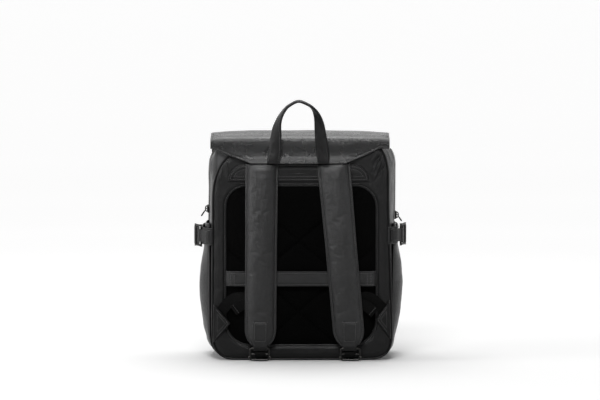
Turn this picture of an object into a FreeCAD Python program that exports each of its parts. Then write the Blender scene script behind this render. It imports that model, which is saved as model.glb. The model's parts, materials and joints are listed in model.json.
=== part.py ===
import FreeCAD, Part
import math
import os

# Flap-top leather backpack, in millimetres.
# +Z up, the back panel (with the shoulder straps) faces -Y, the front faces +Y,
# +X is to the right of someone who looks at the back panel.
V = FreeCAD.Vector
os.makedirs("parts", exist_ok=True)

# ---- driving dimensions -------------------------------------------------
SHIFT_Y = 10.75          # puts the middle of the whole box at y = 0
PANEL_W = 306.0          # width of the back panel
BODY_W = 314.0           # over the gussets, without the pockets
BODY_TOP = 386.0         # top of the back panel
HALF_D = 68.0            # half the depth between the two panels
LEATHER = 3.0            # leather with its backing
CORNER_R = 38.0          # lower corners of the gusset
WIN_W, WIN_Z0, WIN_Z1 = 260.0, 28.0, 300.0      # mesh window
WIN_R_TOP, WIN_R_BOT = 35.0, 42.0
PAD_FACE = -78.0         # outer face of the mesh pad
STRAP_W = 56.0           # shoulder strap width
WEB_W, WEB_T = 20.0, 1.6 # lower webbing
TAB_W = 22.0
SEAM_Z = 344.0           # seam under the flap's back part
POCKET_Z = 240.0         # hem of the side pockets
SIDE_STRAP_W = 30.0      # compression strap
FLAP_W = 310.0
FLAP_END_Z = 150.0       # lower edge of the flap's front
BAR_R = 1.5              # round bars of the small buckles
RUN = 0.3                # clearance of leather loops on bars

OUT_BODY = {}


def keep(name, shape):
    """Write one node."""
    shape = shape.removeSplitter() if shape.ShapeType != "Compound" else shape
    shape.translate(V(0, SHIFT_Y, 0))
    assert shape.isValid(), name
    OUT_BODY[name] = shape
    shape.exportStep("parts/%s.step" % name)


def face(pts):
    w = Part.makePolygon([V(*p) for p in pts] + [V(*pts[0])])
    return Part.Face(w)


def xz(pts, y0, y1):
    """Outline given in X, Z, carried from y0 to y1."""
    return face([(p[0], y0, p[1]) for p in pts]).extrude(V(0, y1 - y0, 0))


def yz(pts, x0, x1):
    """Outline given in Y, Z, carried from x0 to x1."""
    return face([(x0, p[0], p[1]) for p in pts]).extrude(V(x1 - x0, 0, 0))


def xy(pts, z0, z1):
    """Outline given in X, Y, carried from z0 to z1."""
    return face([(p[0], p[1], z0) for p in pts]).extrude(V(0, 0, z1 - z0))


def box(x0, x1, y0, y1, z0, z1):
    return Part.makeBox(x1 - x0, y1 - y0, z1 - z0, V(x0, y0, z0))


def arc(cx, cz, r, a0, a1, n):
    out = []
    for i in range(n + 1):
        a = math.radians(a0 + (a1 - a0) * i / n)
        out.append((cx + r * math.cos(a), cz + r * math.sin(a)))
    return out


def ribbon(pts, t0, t1):
    """Closed outline of a strip: the path moved sideways by t0 and by t1 (left of travel is +)."""
    def side(t):
        out = []
        n = len(pts)
        for i in range(n):
            def unit(a, b):
                dx, dz = b[0] - a[0], b[1] - a[1]
                d = math.hypot(dx, dz)
                return dx / d, dz / d
            if i == 0:
                d0 = d1 = unit(pts[0], pts[1])
            elif i == n - 1:
                d0 = d1 = unit(pts[-2], pts[-1])
            else:
                d0, d1 = unit(pts[i - 1], pts[i]), unit(pts[i], pts[i + 1])
            n0, n1 = (-d0[1], d0[0]), (-d1[1], d1[0])
            k = 1.0 + n0[0] * n1[0] + n0[1] * n1[1]
            out.append((pts[i][0] + t * (n0[0] + n1[0]) / k, pts[i][1] + t * (n0[1] + n1[1]) / k))
        return out
    a, b = side(t0), side(t1)
    return a + b[::-1]


def rounded(x0, x1, z0, z1, rb, rt, n=8):
    """Rectangle with bottom corner radius rb and top corner radius rt."""
    p = []
    p += arc(x1 - rb, z0 + rb, rb, -90, 0, n)
    p += arc(x1 - rt, z1 - rt, rt, 0, 90, n) if rt > 0 else [(x1, z1)]
    p += arc(x0 + rt, z1 - rt, rt, 90, 180, n) if rt > 0 else [(x0, z1)]
    p += arc(x0 + rb, z0 + rb, rb, 180, 270, n)
    return p


def mirror_pts(pts):
    return [(-p[0], p[1]) for p in pts][::-1]


# ---- gussets, base, front and back --------------------------------------
hw = BODY_W / 2.0
cx = hw - CORNER_R
# right gusset, walked from the base upwards; its inside is to the left of travel
prof = [(cx, 0.0)] + arc(cx, CORNER_R, CORNER_R, -90, 0, 10)[1:] + [(hw, 342.0), (150.0, 366.0), (147.0, 380.0)]
g_out = ribbon(prof, 0.0, LEATHER)
keep("right_gusset", xz(g_out, -HALF_D, HALF_D))
keep("left_gusset", xz(mirror_pts(g_out), -HALF_D, HALF_D))
keep("base_panel", box(-cx + 0.3, cx - 0.3, -HALF_D, HALF_D, 0, LEATHER))

pw = PANEL_W / 2.0
panel = rounded(-pw, pw, 3.4, BODY_TOP, 30, 0)
window = rounded(-WIN_W / 2 - 0.2, WIN_W / 2 + 0.2, WIN_Z0 - 0.2, WIN_Z1 + 0.2, WIN_R_BOT, WIN_R_TOP)
keep("back_frame", xz(panel, -71, -HALF_D).cut(xz(window, -80, -60)))
# the pad is pressed in under the points of the two corner tabs
LTAB = [(-152.5, 99), (-122, 65), (-152.5, 32)]
RTAB = [(152.5, 107), (152.5, 36), (133, 72)]
pad = xz(rounded(-WIN_W / 2, WIN_W / 2, WIN_Z0, WIN_Z1, WIN_R_BOT, WIN_R_TOP), PAD_FACE, -HALF_D)
keep("back_pad", pad.cut(xz([(-154, 104), (-119, 65), (-154, 27)], -90, -71.4)))
keep("front_panel", xz(rounded(-pw, pw, 3.4, 372, 30, 0), HALF_D, 71))
pipe_o = rounded(-pw - 3.2, pw + 3.2, 0.2, 360, 33, 0)
pipe_i = rounded(-pw - 0.1, pw + 0.1, 3.3, 361, 30, 0)
keep("back_piping", xz(pipe_o, -71.5, -HALF_D).cut(xz(pipe_i, -80, -60)))
keep("front_piping", xz(pipe_o, HALF_D, 71.5).cut(xz(pipe_i, 60, 80)))

# stiffener and lining; the lining follows the inside of the gussets
keep("back_board", xz(rounded(-144, 144, 12, 376, 36, 8), -HALF_D + 0.1, -HALF_D + 2.1))


def inner_outline(off, z_top):
    p = [(cx, off)] + arc(cx, CORNER_R, CORNER_R - off, -90, 0, 10)[1:] + [(hw - off, 341.4)]
    p += [(hw - off - (z_top - 341.4) * 7.0 / 24.0, z_top)]
    return p + mirror_pts(p)


lin = xz(inner_outline(LEATHER + 0.2, 376), -HALF_D + 2.3, HALF_D - 0.2)
lin = lin.cut(xz(inner_outline(LEATHER + 1.7, 377), -HALF_D + 3.8, HALF_D - 1.7))
keep("lining", lin)
keep("base_board", box(-110, 110, -58, 60, LEATHER + 1.8, LEATHER + 4.8))
slv = box(-125, 125, -64.0, -42, 8.2, 290).cut(box(-121, 121, -62.4, -47, 14, 300))
keep("laptop_sleeve", slv)

# ---- back panel trim ----------------------------------------------------
yoke = arc(-107.5, SEAM_Z - 1 - 14, 14, 90, 270, 10) + arc(107.5, SEAM_Z - 1 - 14, 14, -90, 90, 10)
yoke = [(x * 123.0 / 121.5, z) for x, z in yoke]
keep("shoulder_yoke", xz(yoke, -73.6, -71.1))
root = [(-84, SEAM_Z), (79, SEAM_Z), (138, 371), (154, 371.5), (154, 386.6), (-154, 386.6), (-154, 371), (-86, 346.5)]
keep("flap_root", xz(root, -74.1, -71.1))
band = ribbon([(-129.5, -78.2), (-119, -83.6), (119, -83.6), (129.5, -78.2)], 0.0, -1.8)
keep("luggage_band", xy(band, 128, 154))
keep("left_corner_tab", xz(LTAB, -73.3, -71.7))
keep("right_corner_tab", xz(RTAB, -73.3, -71.7))

# ---- flap, hinged on the crease -----------------------------------------
fl_path = [(-72.0, 388.0), (-40, 391.5), (0, 393), (40, 391.5), (64, 389), (71, 386.5), (74.6, 380), (75.2, 366),
           (75.2, FLAP_END_Z)]
flap = yz(ribbon(fl_path, 0.0, 3.0), -FLAP_W / 2, FLAP_W / 2)
trim = rounded(-FLAP_W / 2 - 1, FLAP_W / 2 + 1, FLAP_END_Z - 0.5, 410, 45, 0)
flap = flap.common(xz(trim, -90, 90))
keep("flap", flap)
straps, buckles, magf, magb = [], [], [], []
for sx in (-72.0, 72.0):
    tongue = [(sx - 14, 140), (sx - 8, 128), (sx + 8, 128), (sx + 14, 140), (sx + 14, 300), (sx - 14, 300)]
    straps.append(xz(tongue, 78.4, 80.6))
    fr = xz(rounded(sx - 19, sx + 19, 160, 186, 4, 4, 4), 80.8, 83.4)
    fr = fr.cut(xz(rounded(sx - 15.5, sx + 15.5, 163.5, 182.5, 2, 2, 3), 79, 85))
    fr = fr.fuse(xz([(sx - 1.5, 163), (sx + 1.5, 163), (sx + 1.5, 183), (sx - 1.5, 183)], 81.2, 83.0))
    buckles.append(fr)
    c = Part.makeCylinder(8, 1.8, V(sx, 73.2, 205), V(0, 1, 0))
    magf.append(c)
    magb.append(Part.makeCylinder(8, 1.6, V(sx, 71.1, 205), V(0, 1, 0)))
keep("closure_straps", Part.makeCompound(straps))
keep("closure_buckles", Part.makeCompound(buckles))
keep("flap_magnets", Part.makeCompound(magf))
keep("body_magnets", Part.makeCompound(magb))

# ---- grab handle: flat at its two ends, turning edge-on over the top ----
H_BASE = 347.0
path = [(-47.5, 347.0), (-46.5, 365.0), (-44.5, 383.0), (-41.5, 399.0), (-38.0, 413.0), (-31.0, 428.0),
        (-21.0, 441.0), (-9.0, 448.5), (0.0, 450.0)]
turn = [0, 6, 18, 34, 52, 68, 80, 88, 90]
stations = [(x, z, t) for (x, z), t in zip(path, turn)]
stations += [(-x, z, 180 - t) for (x, z), t in zip(path[:-1][::-1], turn[:-1][::-1])]
wires = []
for i, (x, z, t) in enumerate(stations):
    a = stations[max(i - 1, 0)]
    b = stations[min(i + 1, len(stations) - 1)]
    tx, tz = b[0] - a[0], b[1] - a[1]
    d = math.hypot(tx, tz)
    tx, tz = tx / d, tz / d
    nx, nz = tz, -tx                      # sideways, in the X-Z plane
    th = math.radians(t)
    w = V(nx * math.cos(th), -math.sin(th), nz * math.cos(th))
    n = V(nx * math.sin(th), math.cos(th), nz * math.sin(th))
    c = V(x, -79.2 - 0.145 * (z - H_BASE), z)
    hw_, ht = 10.5, 1.9
    q = [c + w * hw_ + n * ht, c + w * hw_ - n * ht, c - w * hw_ - n * ht, c - w * hw_ + n * ht]
    wires.append(Part.makePolygon(q + [q[0]]))
handle = Part.makeLoft(wires, True, True)
keep("grab_handle", handle)

# ---- shoulder straps ----------------------------------------------------
inner = [(343, -74.6), (330, -78.2), (300, -84), (250, -88), (200, -90), (150, -89.5), (100, -87.5), (60, -85.2), (25.6, -84.2)]
outer = [(25.6, -90.5), (30, -94), (60, -98), (100, -102), (150, -104.5), (200, -105), (250, -103), (300, -98), (330, -88), (343, -79.6)]
strap_yz = [(y, z) for z, y in inner + outer]
for side, x_top, x_end in (("left", -65.0, -69.0), ("right", 59.0, 84.0)):
    h = STRAP_W / 2.0
    o = [(x_top - h, 343), (x_end - h + 0.3, 56)]
    o += arc(x_end, 54, h, 180, 360, 14)[1:-1]
    o += [(x_end + h - 0.3, 56), (x_top + h, 343)]
    o = [(x, max(z, 25.8)) for x, z in o]
    clean = [o[0]]
    for p in o[1:]:
        if abs(p[0] - clean[-1][0]) + abs(p[1] - clean[-1][1]) > 0.4:
            clean.append(p)
    st = yz(strap_yz, x_end - 60, x_end + 60).common(xz(clean, -120, -60))
    keep(side + "_shoulder_strap", st)
    # leather tab sewn on the strap end and looped round the slider's upper bar
    by, bz = -85.25, 21.7
    tab = yz(ribbon([(-99.0, 68), (-98.2, 60), (-94.25, 30), (-90.9, 25.4)], 0.0, -1.7), x_end - TAB_W / 2, x_end + TAB_W / 2)
    ring = Part.makeCylinder(BAR_R + RUN + 1.6, TAB_W, V(x_end - TAB_W / 2, by, bz), V(1, 0, 0))
    link = yz([(-91.6, 25.7), (-90.7, 25.1), (-88.0, 22.6), (-88.0, 19.9), (-92.4, 25.2)], x_end - TAB_W / 2, x_end + TAB_W / 2)
    hole = Part.makeCylinder(BAR_R + RUN, TAB_W + 2, V(x_end - TAB_W / 2 - 1, by, bz), V(1, 0, 0))
    keep(side + "_strap_tab", tab.fuse(ring).fuse(link).cut(hole).cut(st.copy().translated(V(0, -SHIFT_Y, 0))))
    # slider buckle: outer frame and three bars
    fr = xz(rounded(x_end - 18, x_end + 18, 1.2, 23.2, 5, 5, 5), -87, -83.5)
    fr = fr.cut(xz(rounded(x_end - 15, x_end + 15, 4.2, 10.7, 2, 2, 3), -90, -80))
    fr = fr.cut(xz(rounded(x_end - 15, x_end + 15, 13.7, 26.2, 2, 2, 3), -90, -80))
    bar = Part.makeCylinder(BAR_R, 34, V(x_end - 17, by, bz), V(1, 0, 0))
    lugs = [box(x_end + s * 18 - 1.5, x_end + s * 18 + 1.5, -86.5, -84, 6, 11) for s in (-1, 1)]
    fr = fr.fuse(bar)
    for l in lugs:
        fr = fr.fuse(l)
    keep(side + "_slider_buckle", fr)

# ---- lower webbing: from the corner tab, over an arch, behind the strap and through the slider
for side, x_end, pts in (
        ("left", -69.0, [(-137.0, 83.0), (-126.0, 103.0), (-112.0, 113.5), (-96.0, 113.0), (-80.0, 101.0), (-71.5, 82.0), (-69.0, 60.0), (-69.0, 24.0)]),
        ("right", 84.0, [(141.0, 91.0), (131.5, 104.0), (119.0, 113.0), (107.0, 112.0), (95.0, 100.0), (86.5, 82.0), (84.0, 60.0), (84.0, 24.0)])):
    web = xz(ribbon(pts, WEB_W / 2, -WEB_W / 2), -80.4, -80.4 + WEB_T)
    web = web.cut(xz([(-160, 120), (-160, 20), (-128, 54), (-116.5, 65), (-128, 78.5)] if side == "left"
                     else [(160, 120), (160, 20), (139, 60), (127.5, 72), (139, 85.5)], -82, -78))
    x0, x1 = x_end - WEB_W / 2, x_end + WEB_W / 2
    hook = yz([(-80.4, 26), (-80.4, 9.7), (-88.8, 9.7), (-88.8, 14.7), (-80.6, 14.7), (-80.6, 16.3), (-90.4, 16.3),
               (-90.4, 8.1), (-78.8, 8.1), (-78.8, 26)], x0, x1)
    keep(side + "_webbing", web.fuse(hook))

# ---- side pockets, compression straps and their buckles ------------------
arcp = [p for p in arc(cx, CORNER_R, CORNER_R, -90, 0, 10) if p[1] > 11.0]
p_out = [(166.5, POCKET_Z), (168.2, 187), (176, 126), (173, 80), (165.5, 36), (157, 18), (arcp[0][0] + 3.0, arcp[0][1])]
pk = xz(arcp + [(hw, POCKET_Z)] + p_out, -50, 50)
pk = pk.cut(xz([(hw, 241), (hw, 40), (163, 44), (170.6, 80), (173.6, 126), (165.9, 187), (164.1, 241)], -47.6, 47.6))
keep("right_side_pocket", pk.copy())
keep("left_side_pocket", pk.mirror(V(0, 0, 0), V(1, 0, 0)))
for side, s, z0 in (("left", -1.0, 202.0), ("right", 1.0, 204.0)):
    z1 = z0 + SIDE_STRAP_W
    sp = ribbon([(157.3, -67.5), (171.0, -54.0), (171.0, 54.0), (157.3, 67.5)], 0.0, -2.4)
    sp = [(s * x, y) for x, y in sp]
    keep(side + "_compression_strap", xy(sp, z0, z1))
    # chape: a small loop that holds the buckle's inner bar
    px, py = 177.0, -44.0
    ch = Part.makeCylinder(BAR_R + RUN + 1.5, 20, V(s * px, py, z0 + 5), V(0, 0, 1))
    ch = ch.fuse(xy([(s * 173.5, py - 12), (s * 175.2, py - 12), (s * 177, py - 3), (s * 177, py + 2), (s * 173.5, py + 2)], z0 + 5, z0 + 25))
    ch = ch.cut(Part.makeCylinder(BAR_R + RUN, 24, V(s * px, py, z0 + 3), V(0, 0, 1)))
    ch = ch.cut(box(min(s * 160, s * 173.5), max(s * 160, s * 173.5), py - 20, py + 20, z0 - 1, z1 + 1))
    keep(side + "_buckle_chape", ch)
    # buckle frame: inner bar, middle bar, outer bar and two side rails
    tx, ty = math.sin(math.radians(24)), math.cos(math.radians(24))
    L = 22.0
    def at(u):
        return V(s * (px + tx * u), py + ty * u, 0)
    parts_ = []
    for u in (0.0, 13.0, L):
        parts_.append(Part.makeCylinder(BAR_R, 34, at(u) + V(0, 0, z0 - 2), V(0, 0, 1)))
    for zz in (z0 - 2.0, z0 + 29.0):
        a, b = at(0), at(L)
        nx_, ny_ = s * ty * 1.5, -tx * 1.5
        rail = [(a.x - nx_, a.y - ny_), (b.x - nx_, b.y - ny_), (b.x + nx_, b.y + ny_), (a.x + nx_, a.y + ny_)]
        parts_.append(xy(rail, zz, zz + 3.0))
    bk = parts_[0]
    for q in parts_[1:]:
        bk = bk.fuse(q)
    keep(side + "_side_buckle", bk)

# ---- side zips -----------------------------------------------------------
for side, s, zs in (("left", -1.0, 261.0), ("right", 1.0, 250.0)):
    zp = [(hw, 244.0 - (4 if side == "right" else 0)), (hw, 342.0), (150.0, 366.0), (147.3, 378.5)]
    tape = ribbon(zp, -0.15, -0.9)
    teeth = ribbon(zp[:3] + [(148.0, 375.5)], -1.0, -3.2)
    tape = tape if s > 0 else mirror_pts(tape)
    teeth = teeth if s > 0 else mirror_pts(teeth)
    keep(side + "_zip_tape", xz(tape, -13, 13))
    keep(side + "_zip_teeth", xz(teeth, -2.6, 2.6))
    sl = box(158.2, 163.4, -5.0, 5.0, zs - 7, zs + 7)
    sl = sl.cut(box(157, 160.6, -3.0, 3.0, zs - 9, zs + 9))
    sl = sl.cut(box(157, 158.4, -6, 6, zs - 9, zs + 9))
    # lug with a hole for the puller's bar
    lug = box(163.4, 167.0, -4.2, -2.6, zs - 3, zs + 3).fuse(box(163.4, 167.0, 2.6, 4.2, zs - 3, zs + 3))
    lug = lug.fuse(Part.makeCylinder(0.8, 8.4, V(165.3, -4.2, zs), V(0, 1, 0)))
    sl = sl.fuse(lug)
    # puller: an eye round the lug's bar and a flat tongue that hangs and leans out
    ang = math.radians(32)
    dx, dz = math.sin(ang), -math.cos(ang)
    ln = 16.0 if side == "left" else 13.0
    nx, nz = dz, -dx
    pl = Part.makeCylinder(1.6, 4.6, V(165.3, -2.3, zs), V(0, 1, 0))
    a = (165.3 + dx * 0.9, zs + dz * 0.9)
    b = (165.3 + dx * ln, zs + dz * ln)
    tongue = [(a[0] + nx * 0.8, a[1] + nz * 0.8), (b[0] + nx * 0.8, b[1] + nz * 0.8), (b[0] - nx * 0.8, b[1] - nz * 0.8), (a[0] - nx * 0.8, a[1] - nz * 0.8)]
    pl = pl.fuse(xz(tongue, -2.3, 2.3))
    c0 = (165.3 + dx * 4.0, zs + dz * 4.0)
    wide = [(c0[0] + nx * 0.9, c0[1] + nz * 0.9), (b[0] + nx * 0.9, b[1] + nz * 0.9), (b[0] - nx * 0.9, b[1] - nz * 0.9), (c0[0] - nx * 0.9, c0[1] - nz * 0.9)]
    pl = pl.fuse(xz(wide, -3.2, 3.2))
    pl = pl.cut(Part.makeCylinder(0.86, 12, V(165.3, -6, zs), V(0, 1, 0)))
    if s < 0:
        sl = sl.mirror(V(0, 0, 0), V(1, 0, 0))
        pl = pl.mirror(V(0, 0, 0), V(1, 0, 0))
    keep(side + "_zip_slider", sl)
    keep(side + "_zip_puller", pl)

bb = FreeCAD.BoundBox()
for n, s_ in OUT_BODY.items():
    bb.add(s_.BoundBox)
print(len(OUT_BODY), "nodes", [round(v, 2) for v in (bb.XMin, bb.XMax, bb.YMin, bb.YMax, bb.ZMin, bb.ZMax)])
for n, s_ in OUT_BODY.items():
    sol = s_.Solids
    if not sol or any(q.Volume <= 0 for q in sol):
        print("BAD", n, len(sol), [q.Volume for q in sol])
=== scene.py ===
import bpy
import bmesh
import math
import json
import numpy as np
from mathutils import Vector, noise
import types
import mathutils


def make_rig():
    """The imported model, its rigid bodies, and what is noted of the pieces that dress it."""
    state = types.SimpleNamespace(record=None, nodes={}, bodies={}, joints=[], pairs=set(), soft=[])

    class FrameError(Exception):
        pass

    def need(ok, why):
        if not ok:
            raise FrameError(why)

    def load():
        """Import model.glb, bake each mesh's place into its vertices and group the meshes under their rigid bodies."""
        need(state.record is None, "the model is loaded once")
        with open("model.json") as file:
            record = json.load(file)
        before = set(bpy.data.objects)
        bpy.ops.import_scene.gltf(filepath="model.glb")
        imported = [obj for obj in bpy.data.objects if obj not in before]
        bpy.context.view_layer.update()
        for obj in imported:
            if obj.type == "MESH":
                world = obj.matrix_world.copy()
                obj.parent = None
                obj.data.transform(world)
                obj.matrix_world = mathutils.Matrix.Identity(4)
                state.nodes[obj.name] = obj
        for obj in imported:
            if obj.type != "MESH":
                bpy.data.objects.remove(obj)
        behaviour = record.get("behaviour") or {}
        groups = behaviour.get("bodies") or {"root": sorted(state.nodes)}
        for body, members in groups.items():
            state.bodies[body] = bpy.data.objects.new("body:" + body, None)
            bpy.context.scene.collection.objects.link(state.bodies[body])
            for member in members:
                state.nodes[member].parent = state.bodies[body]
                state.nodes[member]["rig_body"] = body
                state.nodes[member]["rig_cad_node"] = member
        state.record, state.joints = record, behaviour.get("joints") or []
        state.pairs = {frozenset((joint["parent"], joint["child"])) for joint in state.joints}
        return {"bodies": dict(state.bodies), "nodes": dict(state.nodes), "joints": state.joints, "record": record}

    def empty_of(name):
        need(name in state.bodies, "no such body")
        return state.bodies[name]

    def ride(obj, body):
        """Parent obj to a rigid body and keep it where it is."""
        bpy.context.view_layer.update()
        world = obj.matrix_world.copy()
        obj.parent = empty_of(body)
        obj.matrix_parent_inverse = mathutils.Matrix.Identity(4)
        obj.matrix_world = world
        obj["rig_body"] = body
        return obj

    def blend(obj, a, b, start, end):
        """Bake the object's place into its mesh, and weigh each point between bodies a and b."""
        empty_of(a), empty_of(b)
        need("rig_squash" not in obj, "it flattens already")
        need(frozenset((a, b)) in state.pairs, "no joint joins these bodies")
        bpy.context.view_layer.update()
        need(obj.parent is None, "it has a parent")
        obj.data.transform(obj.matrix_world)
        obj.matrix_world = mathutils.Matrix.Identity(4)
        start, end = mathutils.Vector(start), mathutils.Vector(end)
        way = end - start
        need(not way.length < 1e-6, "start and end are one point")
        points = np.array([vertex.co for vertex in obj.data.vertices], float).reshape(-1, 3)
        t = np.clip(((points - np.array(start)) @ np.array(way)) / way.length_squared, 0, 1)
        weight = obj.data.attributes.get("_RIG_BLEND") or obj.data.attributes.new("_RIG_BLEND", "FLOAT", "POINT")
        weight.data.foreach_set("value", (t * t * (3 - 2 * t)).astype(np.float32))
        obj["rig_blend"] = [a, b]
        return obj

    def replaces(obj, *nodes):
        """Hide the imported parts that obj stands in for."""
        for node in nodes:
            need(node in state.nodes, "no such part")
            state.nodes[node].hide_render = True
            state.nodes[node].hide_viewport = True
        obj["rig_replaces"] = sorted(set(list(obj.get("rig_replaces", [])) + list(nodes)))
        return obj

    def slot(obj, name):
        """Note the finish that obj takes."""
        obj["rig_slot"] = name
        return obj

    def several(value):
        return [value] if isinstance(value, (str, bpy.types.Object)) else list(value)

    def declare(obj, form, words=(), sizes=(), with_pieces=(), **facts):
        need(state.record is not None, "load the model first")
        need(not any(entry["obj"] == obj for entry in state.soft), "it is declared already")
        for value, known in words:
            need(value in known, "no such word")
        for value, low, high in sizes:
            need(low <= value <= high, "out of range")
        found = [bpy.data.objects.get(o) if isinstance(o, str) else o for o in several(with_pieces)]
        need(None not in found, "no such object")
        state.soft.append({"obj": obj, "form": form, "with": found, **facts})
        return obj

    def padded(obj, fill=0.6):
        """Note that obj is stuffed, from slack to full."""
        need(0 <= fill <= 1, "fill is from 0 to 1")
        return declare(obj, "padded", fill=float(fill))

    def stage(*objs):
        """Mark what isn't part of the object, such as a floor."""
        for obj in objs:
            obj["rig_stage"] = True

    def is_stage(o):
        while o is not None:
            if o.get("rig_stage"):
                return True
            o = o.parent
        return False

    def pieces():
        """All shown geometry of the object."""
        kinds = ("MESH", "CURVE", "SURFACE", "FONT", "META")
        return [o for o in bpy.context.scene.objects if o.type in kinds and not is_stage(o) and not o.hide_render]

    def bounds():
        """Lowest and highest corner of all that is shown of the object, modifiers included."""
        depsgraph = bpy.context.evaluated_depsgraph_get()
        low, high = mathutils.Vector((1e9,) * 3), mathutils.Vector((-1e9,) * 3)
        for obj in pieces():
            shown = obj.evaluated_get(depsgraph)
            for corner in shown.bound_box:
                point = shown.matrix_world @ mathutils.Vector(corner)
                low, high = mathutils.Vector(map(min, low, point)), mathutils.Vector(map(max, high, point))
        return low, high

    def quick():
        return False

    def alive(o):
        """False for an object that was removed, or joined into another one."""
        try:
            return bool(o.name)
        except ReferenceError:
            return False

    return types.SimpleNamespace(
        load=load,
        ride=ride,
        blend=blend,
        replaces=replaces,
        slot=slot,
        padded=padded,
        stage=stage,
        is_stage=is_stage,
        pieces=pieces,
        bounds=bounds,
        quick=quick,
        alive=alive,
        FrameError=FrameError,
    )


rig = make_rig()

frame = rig.load()
CAD_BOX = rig.bounds()
SY = 10.75            # the CAD frame's shift along Y, in mm
MM = 0.001


# =====================================================================
# helpers (everything is worked out in mm, then written in metres)
# =====================================================================
def to_m(a):
    a = np.array(a, float)
    a[..., 1] += SY
    return a * MM


def fbm(p, scale, seed=0.0, octaves=3):
    """Smooth noise in about -1..1 at points p (mm); scale is the size of its features in mm."""
    p = np.asarray(p, float)
    flat = p.reshape(-1, 3) / scale
    out = np.empty(len(flat))
    for i, q in enumerate(flat):
        out[i] = noise.fractal(Vector((q[0] + seed, q[1] + 1.7 * seed, q[2] - seed)), 1.0, 2.0, octaves)
    return out.reshape(p.shape[:-1])


def catmull(pts, n=12, closed=False):
    pts = np.asarray(pts, float)
    m = len(pts)
    out = []
    segs = m if closed else m - 1
    for i in range(segs):
        if closed:
            p0, p1, p2, p3 = pts[(i - 1) % m], pts[i], pts[(i + 1) % m], pts[(i + 2) % m]
        else:
            p1, p2 = pts[i], pts[i + 1]
            p0 = pts[i - 1] if i > 0 else 2 * p1 - p2
            p3 = pts[i + 2] if i + 2 < m else 2 * p2 - p1
        for k in range(n):
            t = k / n
            out.append(0.5 * ((2 * p1) + (-p0 + p2) * t + (2 * p0 - 5 * p1 + 4 * p2 - p3) * t * t + (-p0 + 3 * p1 - 3 * p2 + p3) * t ** 3))
    if not closed:
        out.append(pts[-1])
    return np.array(out)


def resample(pts, step=None, n=None, closed=False):
    pts = np.asarray(pts, float)
    if closed:
        pts = np.vstack([pts, pts[:1]])
    d = np.r_[0, np.cumsum(np.linalg.norm(np.diff(pts, axis=0), axis=1))]
    if n is None:
        n = max(2, int(round(d[-1] / step)) + (0 if closed else 1))
    t = np.linspace(0, d[-1], n, endpoint=not closed)
    return np.stack([np.interp(t, d, pts[:, k]) for k in range(pts.shape[1])], axis=1)


def ticks(L, step, grooves=(), edge=(0.0, 0.3, 0.8, 1.6, 2.6)):
    """Grid positions from 0 to L, dense at both edges and at grooves."""
    v = set(float(e) for e in edge if e < L / 2) | set(float(L - e) for e in edge if e < L / 2)
    n = max(2, int(round(L / step)))
    v |= set(np.linspace(0, L, n + 1))
    for g in grooves:
        for o in (-1.5, -0.7, 0.0, 0.7, 1.5):
            if 0 < g + o < L:
                v.add(float(g + o))
    v = np.array(sorted(v))
    keep_ = [v[0]]
    forced = set(round(g, 4) for g in grooves)
    for q in v[1:]:
        if q - keep_[-1] < 0.22:
            if round(q, 4) in forced or q == v[-1]:
                keep_[-1] = q
            continue
        keep_.append(q)
    return np.array(keep_)


def smooth01(x):
    x = np.clip(x, 0, 1)
    return x * x * (3 - 2 * x)


def normals(S, closed_u=False):
    if closed_u:
        E = np.concatenate([S[-1:], S, S[:1]], axis=0)
        du = (E[2:] - E[:-2])
    else:
        du = np.gradient(S, axis=0)
    dv = np.gradient(S, axis=1)
    n = np.cross(du, dv)
    ln = np.linalg.norm(n, axis=2, keepdims=True)
    ln[ln < 1e-9] = 1
    return n / ln


MESHES = []


def finish_mesh(name, verts, faces, body, slot, mat, replaces=(), smooth=True, merge=0.0):
    me = bpy.data.meshes.new(name)
    me.from_pydata([tuple(v) for v in to_m(verts)], [], [tuple(f) for f in faces])
    bm = bmesh.new()
    bm.from_mesh(me)
    if merge > 0:
        bmesh.ops.remove_doubles(bm, verts=bm.verts, dist=merge * MM)
    bmesh.ops.dissolve_degenerate(bm, dist=1e-7, edges=bm.edges)
    bmesh.ops.recalc_face_normals(bm, faces=bm.faces)
    bm.to_mesh(me)
    bm.free()
    ob = bpy.data.objects.new(name, me)
    bpy.context.scene.collection.objects.link(ob)
    if smooth:
        for p in me.polygons:
            p.use_smooth = True
    me.materials.append(mat)
    if body:
        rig.ride(ob, body)
    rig.slot(ob, slot)
    if replaces:
        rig.replaces(ob, *replaces)
    MESHES.append(ob)
    return ob


def grid_faces(nu, nv, closed_u=False, off=0, flip=False):
    f = []
    for i in range(nu if closed_u else nu - 1):
        a = i * nv + off
        b = ((i + 1) % nu) * nv + off
        for j in range(nv - 1):
            q = (a + j, b + j, b + j + 1, a + j + 1)
            f.append(q[::-1] if flip else q)
    return f


def solid(name, F, B, body, slot, mat, closed_u=False, replaces=(), merge=0.02):
    """Closed sheet between a front grid and a back grid."""
    nu, nv = F.shape[:2]
    verts = np.vstack([F.reshape(-1, 3), B.reshape(-1, 3)])
    o = nu * nv
    f = grid_faces(nu, nv, closed_u) + grid_faces(nu, nv, closed_u, o, True)
    for i in range(nu if closed_u else nu - 1):
        k = (i + 1) % nu
        for j in (0, nv - 1):
            f.append((i * nv + j, k * nv + j, o + k * nv + j, o + i * nv + j))
    if not closed_u:
        for j in range(nv - 1):
            for i in (0, nu - 1):
                f.append((i * nv + j, i * nv + j + 1, o + i * nv + j + 1, o + i * nv + j))
    return finish_mesh(name, verts, f, body, slot, mat, replaces, merge=merge)


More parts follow.
